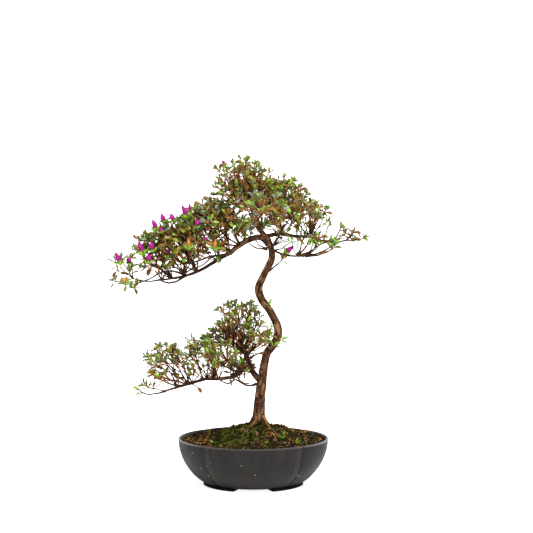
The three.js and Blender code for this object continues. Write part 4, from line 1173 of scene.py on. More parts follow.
# Twigs that show one by one.
sideTwigs = [
    limb(2.2, 1.8, [-134, -4, 420], [-150, -6, 409], [-167, -7, 406], [-181, -5, 409]),
    limb(1.9, 1.4, [-138, -4, 423], [-160, -5, 429], [-183, -6, 426], [-207, -7, 413],
         [-236, -8, 403], spray=1, colour=0.95),
    limb(1.7, 1.3, [-48, -6, 463], [-75, -12, 460], [-86, -14, 454], [-97, -14, 443], [-115, -12, 436],
         [-139, -5, 424]),
    limb(1.9, 1.1, [-140, -2, 199], [-162, -4, 202], [-182, -5, 211], [-198, -5, 223], spray=1),
    limb(2.1, 1.7, [6, 4, 202], [-7, -3, 199], [-20, -6, 204], [-35, -6, 213]),
    limb(1.6, 1.4, [-36, -6, 213], [-50, -8, 205], [-62, -8, 209], [-72, -7, 214]),
    limb(1.2, 1.0, [-131, -3, 203], [-122, -6, 203], [-117, -8, 201], [-112, -8, 198]),
    limb(1.7, 1.3, [-174, 0, 188], [-190, -1, 184], [-206, -2, 182], [-222, -3, 186],
         [-227, -3, 191], spray=1, colour=0.95),
    limb(1.0, 0.7, [-220, -3, 185], [-231, -3, 182], [-241, -3, 180]),
    limb(2.0, 1.6, [-22, -3, 238], [-36, -6, 244], [-50, -4, 249]),
    limb(1.2, 1.0, [-48, 0, 325], [-58, -1, 338], [-68, -2, 350], spray=1),
    limb(1.2, 1.0, [-44, 0, 302], [-56, -1, 311], [-64, -2, 316], spray=1),
    limb(1.2, 1.0, [-148, -2, 246], [-151, -3, 260], [-153, -3, 271], spray=1),
    limb(1.0, 0.7, [-152, -3, 264], [-170, -4, 271], [-188, -4, 271]),
    limb(1.7, 1.0, [87, -20, 461], [93, -18, 474], [98, -16, 490], [104, -12, 512], [107, -10, 526]),
    limb(1.4, 1.1, [102, -25, 461], [111, -26, 471], [118, -24, 485], spray=1),
    limb(2.0, 1.4, [90, -23, 461], [114, -27, 471], [131, -28, 483],
         [146, -27, 489], spray=1, colour=0.1),
    limb(2.0, 1.4, [96, -24, 461], [126, -27, 466], [148, -27, 476],
         [158, -26, 485], spray=1, colour=0.95),
    limb(1.8, 1.3, [102, -25, 460], [124, -26, 462], [146, -25, 469], [157, -24, 477], spray=1),
    limb(2.0, 1.4, [150, -2, 487], [165, -2, 486], [182, -2, 490], [192, -2, 497],
         [196, -2, 504], spray=1),
    limb(1.4, 1.0, [184, -2, 490], [205, -3, 491], [226, -3, 494]),
    limb(1.7, 1.3, [158, -2, 487], [166, -3, 500], [172, -3, 512], spray=1),
    limb(1.4, 1.2, [25, 3, 424], [38, 0, 434], [50, 0, 444], [58, 0, 452]),
    limb(1.8, 1.1, [-17, -2, 272], [-5, -6, 296], [1, -8, 322], [4, -8, 349], spray=1),
    limb(1.7, 1.1, [-12, -2, 258], [6, -14, 284], [22, -20, 304], [34, -22, 317], spray=1, colour=0.95),
    limb(1.6, 1.1, [-13, -2, 262], [4, -16, 278], [18, -22, 292], [27, -24, 302], spray=1),
    limb(1.6, 1.1, [-17, -2, 268], [-3, -10, 292], [9, -14, 312], [15, -14, 324], spray=1),
    limb(1.6, 1.1, [-11, -2, 254], [10, -20, 266], [30, -28, 276],
         [43, -30, 283], spray=1, colour=0.95),
    limb(1.8, 1.3, [28, -6, 472], [14, -9, 474], [2, -10, 478], [-8, -9, 484]),
    limb(1.5, 1.2, [29, -6, 475], [16, -9, 478], [8, -10, 486], [3, -9, 494]),
    limb(1.5, 1.1, [40, -6, 470], [54, -12, 474], [66, -16, 482], [74, -17, 487], spray=1, colour=0.95),
    limb(1.9, 1.3, [38, -5, 478], [46, -9, 490], [54, -12, 506], [63, -14, 524]),
]


# Fans of twigs that rise from one knot: its place, the angles from level that they spread between,
# the shortest and the longest, how many, the radius at the knot, and the share that end in a spray.
def fan(at, angles, length, count, radius, spray):
    return dict(at=at, angles=angles, length=length, count=count, radius=radius, spray=spray)


fans = [
    fan([-138, -4, 422], [48, 142], [34, 62], 9, 1.6, 0.3),
    fan([-180, -3, 410], [58, 128], [20, 32], 5, 1.1, 0.5),
    fan([-46, -8, 466], [92, 158], [26, 46], 7, 1.6, 0.1),
    fan([-24, -2, 262], [62, 138], [40, 66], 9, 1.4, 0.2),
    fan([-50, -4, 249], [66, 150], [26, 42], 6, 1.2, 0.2),
    fan([-6, -2, 237], [95, 165], [22, 38], 5, 1.3, 0.4),
    fan([-38, -7, 220], [25, 120], [20, 34], 6, 1.2, 0.5),
    fan([-70, -6, 214], [62, 120], [24, 40], 4, 1.2, 0.2),
    fan([-92, -4, 213], [58, 128], [28, 42], 5, 1.1, 0.3),
    fan([-122, -3, 204], [62, 138], [30, 44], 5, 1.1, 0.3),
    fan([-150, -2, 196], [85, 150], [30, 48], 5, 1.1, 0.4),
    fan([38, -6, 478], [12, 68], [24, 44], 5, 1.1, 0.3),
    fan([86, -21, 460], [35, 100], [26, 36], 4, 1.0, 0.3),
]
# Bare twigs that hang under the first branch.
spurs = [
    limb(1.8, 1.4, [-33, -8, 235], [-25, -11, 238], [-18, -13, 229], [-17, -13, 216]),
    limb(1.8, 1.1, [-46, -7, 212], [-44, -8, 205], [-42, -8, 197]),
    limb(1.7, 1.3, [-34, -8, 221], [-26, -11, 211], [-16, -13, 206], [-7, -13, 206]),
]


# In a fan each twig is a bent twig from the knot, at an even angle that is shaken a little. All side
# twigs wander by a cloud that fades at both ends, and swell at their foot by a falling power.
def growSideTwigs():
    rng = np.random.default_rng(61)
    share = np.linspace(0, 1, twig["sideSteps"])[None, :, None]
    placed = [smoothPath(t["path"], twig["sideSteps"])[None] for t in sideTwigs + spurs]
    grown, knots = [], []
    for one in fans:
        count = one["count"]
        turn = np.radians(np.linspace(*one["angles"], count) + rng.normal(0, twig["fanShaken"], count))
        away = xyz(np.cos(turn), rng.uniform(-twig["fanDeep"], twig["fanDeep"], count), np.sin(turn))
        away = away * rng.uniform(*one["length"], count)[:, None]
        start = np.array(one["at"], float) + 0 * away
        aside = rng.uniform(-twig["fanBend"], twig["fanBend"], (count, 1)) * away[:, [2, 1, 0]]
        bend = start + 0.5 * away + aside * [-1, 1, 1]
        grown.append(twigPoint(start[:, None], bend[:, None], (start + away)[:, None], share))
        knots += [limb(one["radius"], twig["tipRadius"], spray=one["spray"])] * count
    twigs = sideTwigs + knots + spurs
    paths = np.concatenate(placed[: len(sideTwigs)] + grown + placed[len(sideTwigs):])
    wander = twig["wander"] * shake(paths, twig["wanderCell"], 75) * np.sin(np.pi * share)
    radii = mix(*np.array([t["radius"] for t in twigs], float).T[:, :, None], share[0].T)
    radii = radii * (1 + twig["sideFoot"] * np.exp(-9 * share[0].T))
    sprayed = rng.random(len(twigs)) < [t["spray"] for t in twigs]
    return paths + wander, radii, sprayed, np.array([t["colour"] for t in twigs])


print("growing twigs")
limbSpots = np.concatenate(
    [limbPlaces(b["path"]) for b in boughs.values()] + [limbPlaces(trunk["path"][-3:])]
)
twigPaths, twigRadii = {}, {}
for number, (name, mass) in enumerate(masses.items()):
    twigPaths[name], twigRadii[name] = massTwigs(number, mass)

sidePaths, sideRadii, sideSprayed, sideColours = growSideTwigs()

# Buds stand where the photograph shows them, from left to right: across, up, length, lean to the
# left in degrees. The closed ones are still wrapped in their scales, and the ones at the back have
# only a place each.
flower = dict(
    width=9.6, stalk=1.2, fuller=1.22, forward=30.0, before=10.0, depthCounts=0.25, nod=-0.15,
    small=13, slimSmall=0.7, slimClosed=0.72, backLength=21.0, backStalk=5, crownMiddle=[-20, 0, 520],
    backOn=0.5, backUp=0.8, backOut=0.2, ringBlades=6, ringOut=0.9, ringShortest=6.0,
    rows=13, columns=15, highest=0.82, blunt=0.85, folds=5, foldDepth=0.13, foldTurn=4.5,
    places=[
        [-265, 457, 21, 22], [-246, 451, 12, 5], [-219, 479, 24, 20], [-198, 481, 16, 8],
        [-204, 459, 17, -16], [-193, 523, 19, 18], [-180, 514, 9, 0], [-177, 536, 15, 16],
        [-158, 537, 15, 28], [-167, 467, 13, -6], [-134, 549, 23, 26], [-124, 553, 8, -20],
        [-109, 526, 13, 8], [-79, 527, 7, 0], [-93, 495, 8, 10], [-58, 644, 8, 40],
        [36, 532, 8, -30], [72, 473, 19, -52],
    ],
    closed=[[-125, 488, 17, 4], [-74, 486, 17, -8], [-253, 414, 13, 50]],
    backPlaces=[
        [-100, 84, 528], [-40, 100, 600], [60, 98, 570], [-178, 66, 505], [-210, 34, 492], [14, 78, 612],
    ],
)


# Each bud joins the twig tip that is nearest to its foot by a short stalk, where depth counts for a
# quarter. A stalk is its tip, the bud's foot, the way that the bud points and the bud's length.
def budStalks():
    tips = np.concatenate([p[:, -1] for p in twigPaths.values()])
    depth = flower["depthCounts"] * np.abs(tips[:, 1] + flower["forward"])
    grown = []
    for x, z, length, lean in flower["places"] + flower["closed"]:
        near = tips[(np.hypot(tips[:, 0] - x, tips[:, 2] - (z - 0.5 * length)) + depth).argmin()]
        away = np.array([-np.sin(np.radians(lean)), flower["nod"], np.cos(np.radians(lean))])
        length = length * flower["fuller"]
        foot = np.array([x, near[1] - flower["before"], z]) - away * 0.5 * length
        grown.append((near, foot, unit(away), length))
    for spot in np.array(flower["backPlaces"], float):
        near = tips[np.linalg.norm(tips - spot, axis=1).argmin()]
        outward = flower["backOut"] * unit(near - np.array(flower["crownMiddle"]))
        away = unit(flower["backOn"] * unit(spot - near) + flower["backUp"] * up + outward)
        grown.append((near, near + flower["backStalk"] * away, away, flower["backLength"]))
    return grown


stalks = budStalks()


# The twigs of several masses are one piece.
def makeTwigs(name, nodes, material):
    paths = np.concatenate([twigPaths[n] for n in nodes])
    radii = np.concatenate([twigRadii[n] for n in nodes])
    buildPiece(name, tubes(paths, radii, twig["sides"]), [material], "foliage", nodes)


lowMasses = [n for n in masses if n.startswith("low")]
leftMasses = [n for n in masses if "left" in n and n not in lowMasses]
crownMasses = [n for n in masses if n not in lowMasses and n not in leftMasses]
twigBark = mottledMaterial("twigBark", (0.012, 0.006, 0.003), (0.11, 0.046, 0.018), 120, 1500, 0.0002, 0.75)
makeTwigs("twigs_low", lowMasses, twigBark)
makeTwigs("twigs_left", leftMasses, twigBark)
makeTwigs("twigs_crown", crownMasses, twigBark)
buildPiece("side_twigs", tubes(sidePaths, sideRadii, twig["sideSides"]), [twigBark], "foliage")


# Young shoots: the last stretch of each twig, a little thicker and red brown, ending in its spray,
# and the stalks of the buds.
sprout = dict(
    joints=5, thicker=1.2, swell=[0.7, 0.95, 1, 1.05, 1.15], stalkJoints=[0, 0.35, 0.7, 1],
    stalkSwell=[1, 1, 1.1, 1.5], sides=6,
)


def makeShoots(material):
    paths = np.concatenate([p[:, -sprout["joints"]:] for p in twigPaths.values()])
    radii = np.full(paths.shape[:2], twig["tipRadius"] * sprout["thicker"]) * sprout["swell"]
    near, foot = (np.array(v)[:, None] for v in list(zip(*stalks))[:2])
    stalkPaths = mix(near, foot, np.array(sprout["stalkJoints"])[:, None])  # one path for each bud
    stalkRadii = np.full(stalkPaths.shape[:2], flower["stalk"]) * sprout["stalkSwell"]
    shape = joined([tubes(paths, radii, sprout["sides"]), tubes(stalkPaths, stalkRadii, sprout["sides"])])
    buildPiece("young_shoots", shape, [material], "foliage")


shootBark = mottledMaterial("shootBark", (0.2, 0.065, 0.02), (0.46, 0.19, 0.06), 200, 1500, 0.0002, 0.6)
makeShoots(shootBark)

# Leaves: small blades in sprays at the twig tips, each a closed lens that folds up a little along
# its rib and curves down to its tip. Its rows lie at shares of its length. The other lists of four
# are for the tiers: the low one, the crown, the left and the right. The masses in dealt have their
# colour's number given, and fresh leaves are the ones whose number is at least freshFrom.
leaf = dict(
    rows=[0.1, 0.32, 0.58, 0.84], thickness=0.035, rib=0.2, fold=0.55, edge=0.4, droop=0.2,
    widest=1.6, blunt=0.7, length=[15.5, 22.5], sized=[0.97, 0.95, 1.1, 1.14],
    broad=[0.37, 0.43, 0.5, 0.46], uneven=0.06, most=5, fewest=3, spacing=1.0, turn=2.39996,
    leanInner=14, leanOuter=[62, 74, 80, 78], leanShaken=8, shaken=0.2, lookShaken=0.3,
    heading=0.6, lift=0.6, outward=0.65, innerShare=0.72, lengths=[0.85, 1.12],
    leafy=[[0.5, 0.75], [0.66, 0.35], [0.56, 0.42], [0.66, 0.35]], leafyLeast=0.15,
    greener=[1.25, 1.45, 1.2, 1.2], strayColour=0.15, freshFrom=0.94,
    dealt=dict(trunk_spray=0.95, elbow_spray=0.95, bud_twig=0.8, left_tip_low=0.25),
    freshSize=[0.82, 0.82, 0.9, 1.0], freshWidth=[0.72, 0.72, 0.8, 0.95],
    pairs=[0.8, 0.6, 0.3, 0.8], pairLean=[12, 30], pairLength=[11.0, 17.0], pairWidth=0.34,
)


# Half the width at a share of the length is half a power of a sine that peaks past the middle. The
# cross section is a flat diamond with its upper point pressed down to the rib.
def leafShape():
    share = np.array(leaf["rows"])
    half = 0.5 * np.sin(np.pi * share ** leaf["widest"]) ** leaf["blunt"]
    middle = -leaf["droop"] * share**2
    edge = middle + leaf["fold"] * half * leaf["edge"]
    rib = middle + leaf["rib"] * leaf["thickness"]
    corners = [xyz(-half, share, edge), xyz(0, share, rib), xyz(half, share, edge),
               xyz(0, share, middle - leaf["thickness"])]
    return closedSkin(np.stack(corners, axis=1), [0, 0, 0], [0, 1, -leaf["droop"]])


leafPoints, leafFaces = leafShape()


def tierOf(name):
    if name in lowMasses:
        return 0
    if name in leftMasses:
        return 2
    return 3 if name in ("right_tip", "right_low") else 1


# Every tip that bears a spray: its place, its heading, the way out from its mass's middle or its
# limb, its tier, its colour's number and whether that is given. Twigs low down in a mass are often
# bare: the chance of leaves is a share at the mass's middle plus a slope times the height in it.
def sprayTips(rng):
    def gather(paths, outward, leafy, tier, colour, given):
        end, some = paths[:, -1], len(paths)
        full = [np.broadcast_to(v, some) for v in (leafy, tier, colour, given)]
        rows.append([end, unit(end - paths[:, -3]), unit(outward), *full])

    rows = []
    side, colour = sidePaths[sideSprayed], sideColours[sideSprayed]
    tier = np.select([side[:, -1, 2] < 400, side[:, -1, 0] < -100, side[:, -1, 0] > 100], [0, 2, 3], 1)
    outward = (side[:, -1] - side[:, 0]) * [1, 1, 0.3]
    gather(side, outward, 1.0, tier, np.where(colour < 0, rng.random(len(side)), colour), colour >= 0)
    for name, paths in twigPaths.items():
        mass, tier, given = masses[name], tierOf(name), name in leaf["dealt"]
        middle, slope = leaf["leafy"][tier]
        height = (paths[:, -1, 2] - mass["at"][2]) / mass["half"][2]
        leafy = middle + slope * height if mass["tips"] > 2 else 1.0
        colour = leaf["dealt"][name] if given else rng.random(len(paths))
        gather(paths, (paths[:, -1] - mass["at"]) * [1, 1, 0], leafy, tier, colour, given)
    ends, heading, outward, leafy, tier, colour, given = (np.concatenate(v) for v in zip(*rows))
    kept = rng.random(len(ends)) < np.clip(leafy, leaf["leafyLeast"], 1)
    return [v[kept] for v in (ends, heading, outward, tier, colour, given)]


# Sprays: for every tip an axis turned up and out to the light, and leaves round it at the golden angle,
# from steep and small inside to wide and large outside, and on many a steep pair of new leaves.
# Leaves are steep and slim in the low tier, wider in the crown and widest at the left. A power of
# the colour's number makes more of them green.
def sprayLeaves():
    rng = np.random.default_rng(64)
    ends, heading, outward, tier, colour, given = sprayTips(rng)
    count, most = len(ends), leaf["most"]

    def tiered(key):
        return np.array(leaf[key])[tier]

    def leaning(turn, lean):
        away = np.cos(turn)[..., None] * side[:, None] + np.sin(turn)[..., None] * other[:, None]
        return np.cos(lean)[..., None] * axis[:, None] + np.sin(lean)[..., None] * away

    turned = leaf["heading"] * heading + leaf["lift"] * up + leaf["outward"] * outward
    axis = unit(turned + rng.normal(0, leaf["shaken"], (count, 3)))
    side = unit(np.cross(axis, rng.normal(size=(count, 3))))
    other = np.cross(axis, side)
    leaves = np.where(given, most, rng.integers(leaf["fewest"], most + 1, count))
    colour = np.where(given, colour, colour ** tiered("greener"))
    fresh = colour >= leaf["freshFrom"]
    size = rng.uniform(*leaf["length"], count) * np.where(fresh, tiered("freshSize"), 1)
    size = size * tiered("sized")
    number = np.arange(most)[None, :]
    share = number / np.maximum(leaves[:, None] - 1, 1)
    keep = number < leaves[:, None]
    turn = number * leaf["turn"] + rng.normal(0, leaf["shaken"], (count, most))
    lean = mix(leaf["leanInner"], tiered("leanOuter")[:, None], share)
    direction = leaning(turn, np.radians(lean + rng.normal(0, leaf["leanShaken"], share.shape)))
    roots = ends[:, None] - heading[:, None] * (leaf["spacing"] * number)[..., None]
    length = size[:, None] * mix(leaf["innerShare"], 1.0, share)
    length = length * rng.uniform(*leaf["lengths"], share.shape)
    width = length * (tiered("broad")[:, None] + leaf["uneven"] * rng.uniform(-1, 1, share.shape))
    width = width * np.where(fresh, tiered("freshWidth"), 1)[:, None]
    look = axis[:, None] + rng.normal(0, leaf["lookShaken"], (*share.shape, 3))
    paired = (rng.random(count) < tiered("pairs")) | (given & fresh)
    pairTurn = rng.uniform(0, fullTurn, count)[:, None] + np.array([0, np.pi])
    pairLean = np.radians(rng.uniform(*leaf["pairLean"], (count, 2)))
    pairLength = rng.uniform(*leaf["pairLength"], (count, 2))[paired].ravel()
    pairs = dict(
        roots=np.repeat(ends[paired], 2, axis=0), look=np.repeat(axis[paired], 2, axis=0),
        direction=leaning(pairTurn, pairLean)[paired].reshape(-1, 3),
        length=pairLength, width=pairLength * leaf["pairWidth"],
    )
    stray = rng.normal(0, leaf["strayColour"], share.shape) * ~(given & fresh)[:, None]
    group = np.clip(colour[:, None] + stray, 0, 0.999)
    blades = dict(roots=roots, direction=direction, look=look, length=length, width=width, group=group)
    return {key: values[keep] for key, values in blades.items()}, pairs


# Copies of the leaf from their roots along their directions, with the upper side to the given way.
def bladeShape(blades, chosen=slice(None)):
    axes = axesAlong(blades["direction"][chosen], blades["look"][chosen])
    length, width = blades["length"][chosen], blades["width"][chosen]
    sizes = np.stack([width, length, length], axis=-1)
    return copies(leafPoints, leafFaces, blades["roots"][chosen], axes, sizes)


# Of the four faces between two rows of a leaf, the last two are its underside.
def leafSlots(count):
    return np.concatenate([np.tile([0, 0, 1, 1], len(f) // 4 * count) for f in leafFaces])


def leafMaterial(name, dark, light, roughness, coat=0.0):
    return mottledMaterial(
        name, dark, light, 260, 2400, 0.00012, roughness, sheen=0.36, Coat_Weight=coat, Coat_Roughness=0.28
    )


leafDeep = leafMaterial("leafDeep", (0.022, 0.05, 0.005), (0.12, 0.205, 0.028), 0.36, 0.4)
# Grey leaves: a grey green mottled towards a pale grey that is painted sheen, under a glossy coat.
leafGreySheen = leafMaterial("leafGreySheen", (0.12, 0.14, 0.085), (0.44, 0.46, 0.39), 0.3, 0.8)
leafOlive = leafMaterial("leafOlive", (0.15, 0.13, 0.005), (0.4, 0.345, 0.035), 0.4, 0.25)
leafRusset = leafMaterial("leafRusset", (0.14, 0.052, 0.008), (0.42, 0.19, 0.035), 0.43, 0.25)
leafFresh = leafMaterial("leafFresh", (0.15, 0.4, 0.02), (0.34, 0.6, 0.05), 0.42, 0.12)
leafPale = leafMaterial("leafPale", (0.2, 0.21, 0.055), (0.34, 0.35, 0.13), 0.55)
leafBrownUnder = leafMaterial("leafBrownUnder", (0.2, 0.1, 0.018), (0.36, 0.19, 0.04), 0.6)
leafFreshUnder = leafMaterial("leafFreshUnder", (0.23, 0.36, 0.06), (0.35, 0.48, 0.12), 0.55)

# Each colour takes the leaves whose number is under its limit, and not under the one before.
blades, pairs = sprayLeaves()
low = 0.0
leafGroups = [
    ("leaves_deep", 0.22, leafDeep, leafPale),
    ("leaves_grey_sheen", 0.36, leafGreySheen, leafPale),
    ("leaves_olive", 0.64, leafOlive, leafBrownUnder),
    ("leaves_russet", leaf["freshFrom"], leafRusset, leafBrownUnder),
    ("leaves_fresh", 1.0, leafFresh, leafFreshUnder),
]
for name, high, top, under in leafGroups:
    chosen = (blades["group"] >= low) & (blades["group"] < high)
    buildPiece(name, bladeShape(blades, chosen), [top, under], "foliage", list(masses),
               faceSlots=leafSlots(int(chosen.sum())))
    low = high
buildPiece("leaf_pairs", bladeShape(pairs), [leafFresh, leafFreshUnder], "foliage",
           faceSlots=leafSlots(len(pairs["length"])))


# On the soil: roots that show, in pale curls before the trunk, fallen leaves with the angle that they
# point to, and seedlings of six leaves.
litter = dict(
    roots=[
        [[20, -37], [23, -27], [31, -22], [39, -26], [45, -33], [50, -43]],
        [[24, -37], [31, -33], [36, -40], [31, -48], [24, -46], [24, -39]],
        [[33, -33], [39, -37], [43, -44], [46, -52]],
        [[5, -41], [9, -46], [6, -52], [12, -57]],
        [[-25, -28], [-18, -32], [-13, -37], [-10, -44]],
        [[-22, -31], [-17, -36], [-15, -41]],
        [[28, 14], [46, 26], [62, 24]],
        [[-10, 18], [-24, 32], [-42, 34]],
    ],
    rootSteps=26, rootSides=9, rootRadius=[1.7, 1.0], rootArch=3.2, rootSunk=1.2, rootWave=0.5,
    fallen=[
        [-118, 30, 20, 14], [-84, 40, 200, 12], [-107, -38, 250, 12], [-55, 46, 80, 11], [92, 10, 310, 11],
        [100, 34, 30, 12], [118, 20, 150, 10], [60, -70, 190, 11], [20, 70, 60, 12], [-30, 84, 140, 12],
    ],
    seedlings=[
        [58, -56], [62, -50], [53, -53], [25, -80], [90, -65], [86, -70], [-101, 62], [-87, 20],
        [-80, -66], [30, 90], [-20, 80],
    ],
    leafOut=1.2, leafTilt=[-0.1, 0.35], leafShaken=0.35, leafWidth=0.5,
)
seedling = dict(
    height=7.0, uneven=[0.7, 1.2], lean=0.12, sunk=0.5, radius=0.4, joints=[0, 0.4, 0.8, 1], sides=5,
    length=[4.5, 7.5], width=[2.2, 3.2], below=0.6, pairsTurned=[0, 0.7], pairsRise=[0.9, 2.2],
)


# Roots are tubes that taper along a path over the soil, in an arch that dives in at both ends.
def makeSoilRoots(material):
    steps = litter["rootSteps"]
    share = np.linspace(0, 1, steps)
    flat = np.array([smoothPath([[*c, 0] for c in corners], steps) for corners in litter["roots"]])
    x, y = flat[..., 0], flat[..., 1]
    inMoss = fromMoss(x, y)
    ground = np.where(inMoss < 1, mossHeight(x, y, inMoss), soilHeight(x, y))
    lift = litter["rootArch"] * np.sin(np.pi * share) - litter["rootSunk"]
    lift = lift + litter["rootWave"] * np.sin(np.linspace(0, 11, steps))
    paths = xyz(x, y, ground + lift)
    radii = np.tile(mix(*litter["rootRadius"], share), (len(paths), 1)) * (1 + 0.2 * cloud(paths, 4.0, 95))
    points, faces = tubes(paths, radii, litter["rootSides"])
    straight = (points * [1, 1, 0.4]) * 0.001
    buildPiece("soil_roots", (points, faces), [material], "bark",
               straight=straight, hollow=np.zeros(len(points)))


# Fallen leaves lie a little tilted on the soil, and each seedling is a stalk with crossed pairs:
# four leaves a quarter turn apart and two steeper ones over them.
def makeLitter(dry, green):
    rng = np.random.default_rng(96)
    x, y, angle, length = np.array(litter["fallen"], float).T
    turn = np.radians(angle)
    roots = xyz(x, y, roughSoil(x, y) + litter["leafOut"])
    direction = xyz(np.cos(turn), np.sin(turn), rng.uniform(*litter["leafTilt"], len(x)))
    look = up + rng.normal(0, litter["leafShaken"], roots.shape)
    width = litter["leafWidth"] * length
    fallen = dict(roots=roots, direction=direction, look=look, length=length, width=width)
    buildPiece("fallen_leaves", bladeShape(fallen), [dry], "foliage")
    x, y = np.array(litter["seedlings"], float).T
    count = len(x)
    foot = xyz(x, y, roughSoil(x, y) - seedling["sunk"])
    upward = up + rng.normal(0, seedling["lean"], foot.shape)
    top = foot + seedling["height"] * upward * rng.uniform(*seedling["uneven"], (count, 1))
    joints = mix(foot[:, None], top[:, None], np.array(seedling["joints"])[:, None])
    stalk = tubes(joints, np.full(joints.shape[:2], seedling["radius"]), seedling["sides"])
    turn = rng.uniform(0, fullTurn, count)[:, None] + np.arange(6) * fullTurn / 4
    turn = turn + np.repeat(seedling["pairsTurned"], [4, 2])
    out = xyz(np.cos(turn), np.sin(turn), np.repeat(seedling["pairsRise"], [4, 2]))
    young = dict(
        roots=np.repeat(top - seedling["below"] * up, 6, axis=0), direction=out.reshape(-1, 3),
        look=np.tile(up, (6 * count, 1)), length=rng.uniform(*seedling["length"], 6 * count),
        width=rng.uniform(*seedling["width"], 6 * count),
    )
    buildPiece("seedlings", joined([stalk, bladeShape(young)]), [green], "foliage")


rootBark = makeBark(
    "rootBark", (0.045, 0.02, 0.007), (0.24, 0.11, 0.036), (0.46, 0.26, 0.11), 330.0, 0.0008
)
leafDry = leafMaterial("leafDry", (0.2, 0.075, 0.018), (0.38, 0.17, 0.045), 0.6)
leafSeedling = leafMaterial("leafSeedling", (0.1, 0.25, 0.004), (0.25, 0.44, 0.012), 0.5)
makeSoilRoots(rootBark)
makeBoughs("root_ridges", rootRidges, rootBark)
makeLitter(leafDry, leafSeedling)

# The leaf on a bare stalk that hangs below the low bough.
hangingLeaf = dict(
    roots=np.array([[-113.0, -8.0, 199.0]]), direction=np.array([[10.0, -1.0, -11.0]]),
    look=np.array([[0.6, -1.0, 0.3]]), length=np.array([17.0]), width=np.array([8.4]),
)
buildPiece("hanging_leaf", bladeShape(hangingLeaf), [leafRusset, leafBrownUnder], "foliage",
           faceSlots=leafSlots(1))


# Flower buds: spindles of rolled petals. The radius at a share of the length is a power of a sine
# that peaks past the middle, with folds that wind round it.
def budShape():
    share = np.linspace(0.03, 0.97, flower["rows"])[:, None]
    turn = evenTurns(flower["columns"])[None, :]
    folds = flower["foldDepth"] * np.cos(flower["folds"] * turn + flower["foldTurn"] * share)
    radius = 0.5 * np.sin(np.pi * share ** flower["highest"]) ** flower["blunt"] * (1 + folds)
    return closedSkin(xyz(-radius * np.cos(turn), share, radius * np.sin(turn)), [0, 0, 0], [0, 1, 0])


# Six scales and six green leaves hug the foot of each bud: a ring turned by its own angle, with each
# blade's lean from the bud in degrees, its length as a share of the bud's, its width, and how far
# back on the stalk it starts.
budRings = dict(
    bud_scales=dict(turned=0, lean=13, long=0.42, wide=5.6, back=2.0),
    bud_leaves=dict(turned=1, lean=40, long=0.72, wide=6.6, back=3.5),
)


def makeBuds(petal, scale, calyx):
    rng = np.random.default_rng(91)
    _, base, away, length = (np.array(v, float) for v in zip(*stalks))
    width = np.where(length > flower["small"], flower["width"], flower["width"] * flower["slimSmall"])
    shape, faces = budShape()
    axes = axesAlong(away, rng.normal(size=away.shape))
    sizes = np.stack([width, length, width], axis=-1)
    opened = len(flower["places"])
    number = np.arange(len(base))
    closed = (number >= opened) & (number < opened + len(flower["closed"]))
    sizes[closed] *= [flower["slimClosed"], 1, flower["slimClosed"]]
    slots = np.concatenate([np.repeat(closed, len(f)) for f in faces])
    buds = copies(shape, faces, base, axes, sizes)
    buildPiece("flower_buds", buds, [petal, scale], "foliage", faceSlots=slots)
    around = flower["ringBlades"]
    for (name, ring), material in zip(budRings.items(), (scale, calyx)):
        turn = (np.arange(around) * fullTurn / around + ring["turned"])[None, :, None]
        outward = np.cos(turn) * axes[:, :1] + np.sin(turn) * axes[:, 2:]
        tilt = np.radians(ring["lean"])
        direction = np.cos(tilt) * away[:, None] + np.sin(tilt) * outward
        roots = base[:, None] - ring["back"] * away[:, None] + flower["ringOut"] * outward
        long = np.maximum(ring["long"] * length, flower["ringShortest"])
        blades = dict(
            roots=roots.reshape(-1, 3), direction=direction.reshape(-1, 3),
            look=np.repeat(away, around, axis=0), length=np.repeat(long, around),
            width=np.full(around * len(base), ring["wide"]),
        )
        buildPiece(name, bladeShape(blades), [material], "foliage")


petalMagenta = mottledMaterial(
    "petalMagenta", (0.2, 0.008, 0.13), (0.5, 0.025, 0.33), 190, 1800, 0.0002, 0.5
)
scaleRust = mottledMaterial("scaleRust", (0.42, 0.15, 0.025), (0.72, 0.36, 0.08), 200, 1800, 0.0002, 0.55)
makeBuds(petalMagenta, scaleRust, leafFresh)

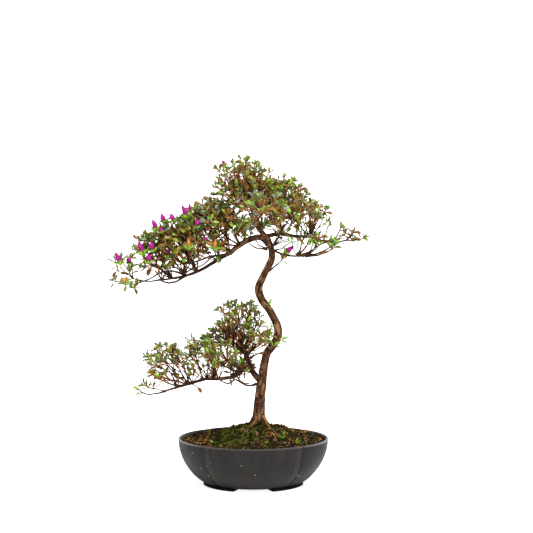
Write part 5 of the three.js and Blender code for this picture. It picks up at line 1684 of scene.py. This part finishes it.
# Floor: white, and a little brighter to the camera than to the plant.
floor = dict(size=40.0, colour=0.86, glow=0.2, seenGlow=0.85)
sides = [(-1, -1), (1, -1), (1, 1), (-1, 1)]
floorCorners = [(x * floor["size"], y * floor["size"], 0) for x, y in sides]
floorMesh = bpy.data.meshes.new("floor")
floorMesh.from_pydata(floorCorners, [], [(0, 1, 2, 3)])
floorMaterial, floorTree, floorShader = newMaterial("paleFloor", Roughness=0.9, Specular_IOR_Level=0.1)
floorShader.inputs["Base Color"].default_value = (floor["colour"], floor["colour"], floor["colour"], 1)
floorShader.inputs["Emission Color"].default_value = (1, 1, 1, 1)


# One strength where the camera looks, and another for the light that reaches the plant.
def seenStrength(tree, light, seen, socket):
    isSeen = addNode(tree, "ShaderNodeLightPath").outputs["Is Camera Ray"]
    strength = addNode(tree, "ShaderNodeMapRange", {"Value": isSeen, "To Min": light, "To Max": seen})
    tree.links.new(strength.outputs[0], socket)


seenStrength(floorTree, floor["glow"], floor["seenGlow"], floorShader.inputs["Emission Strength"])
floorMesh.materials.append(floorMaterial)
floorObject = addObject("floor", floorMesh)

# The room is seen white, and lights the plant less than it shows.
room = dict(light=0.33, seen=1.05)
world = bpy.data.worlds.new("studio")
world.use_nodes = True
background = world.node_tree.nodes["Background"]
background.inputs["Color"].default_value = (1, 1, 1, 1)
seenStrength(world.node_tree, room["light"], room["seen"], background.inputs["Strength"])
bpy.context.scene.world = world

# Two broad suns, one from above and one from the front, each with its energy, the place that it
# shines from and its spread in degrees. Both point at the middle of the trunk.
suns = dict(
    topSoft=dict(energy=4.3, at=[250, -500, 1500], spread=28),
    frontSoft=dict(energy=0.6, at=[700, -1500, 700], spread=60),
)
for name, sun in suns.items():
    light = bpy.data.lights.new(name, "SUN")
    light.energy = sun["energy"]
    light.angle = np.radians(sun["spread"])
    lamp = addObject(name, light)
    lamp.location = toFrame(sun["at"])
    direction = Vector(toFrame([0, 0, 300])) - lamp.location
    lamp.rotation_euler = direction.to_track_quat("-Z", "Y").to_euler()

camera = dict(
    distance=3000.0, down=np.radians(5.5), target=[26.4, 0.0, 437.7], sensor=36, focal=1515 * 36 / 533,
)
cameraData = bpy.data.cameras.new("camera")
cameraData.lens = camera["focal"]
cameraData.sensor_width = camera["sensor"]
cameraObject = addObject("camera", cameraData)
back = np.array([0, -np.cos(camera["down"]), np.sin(camera["down"])]) * camera["distance"]
cameraObject.location = toFrame(np.array(camera["target"]) + back)
cameraObject.rotation_euler = (np.pi / 2 - camera["down"], 0, 0)
bpy.context.scene.camera = cameraObject
bpy.context.scene.view_settings.view_transform = "Standard"
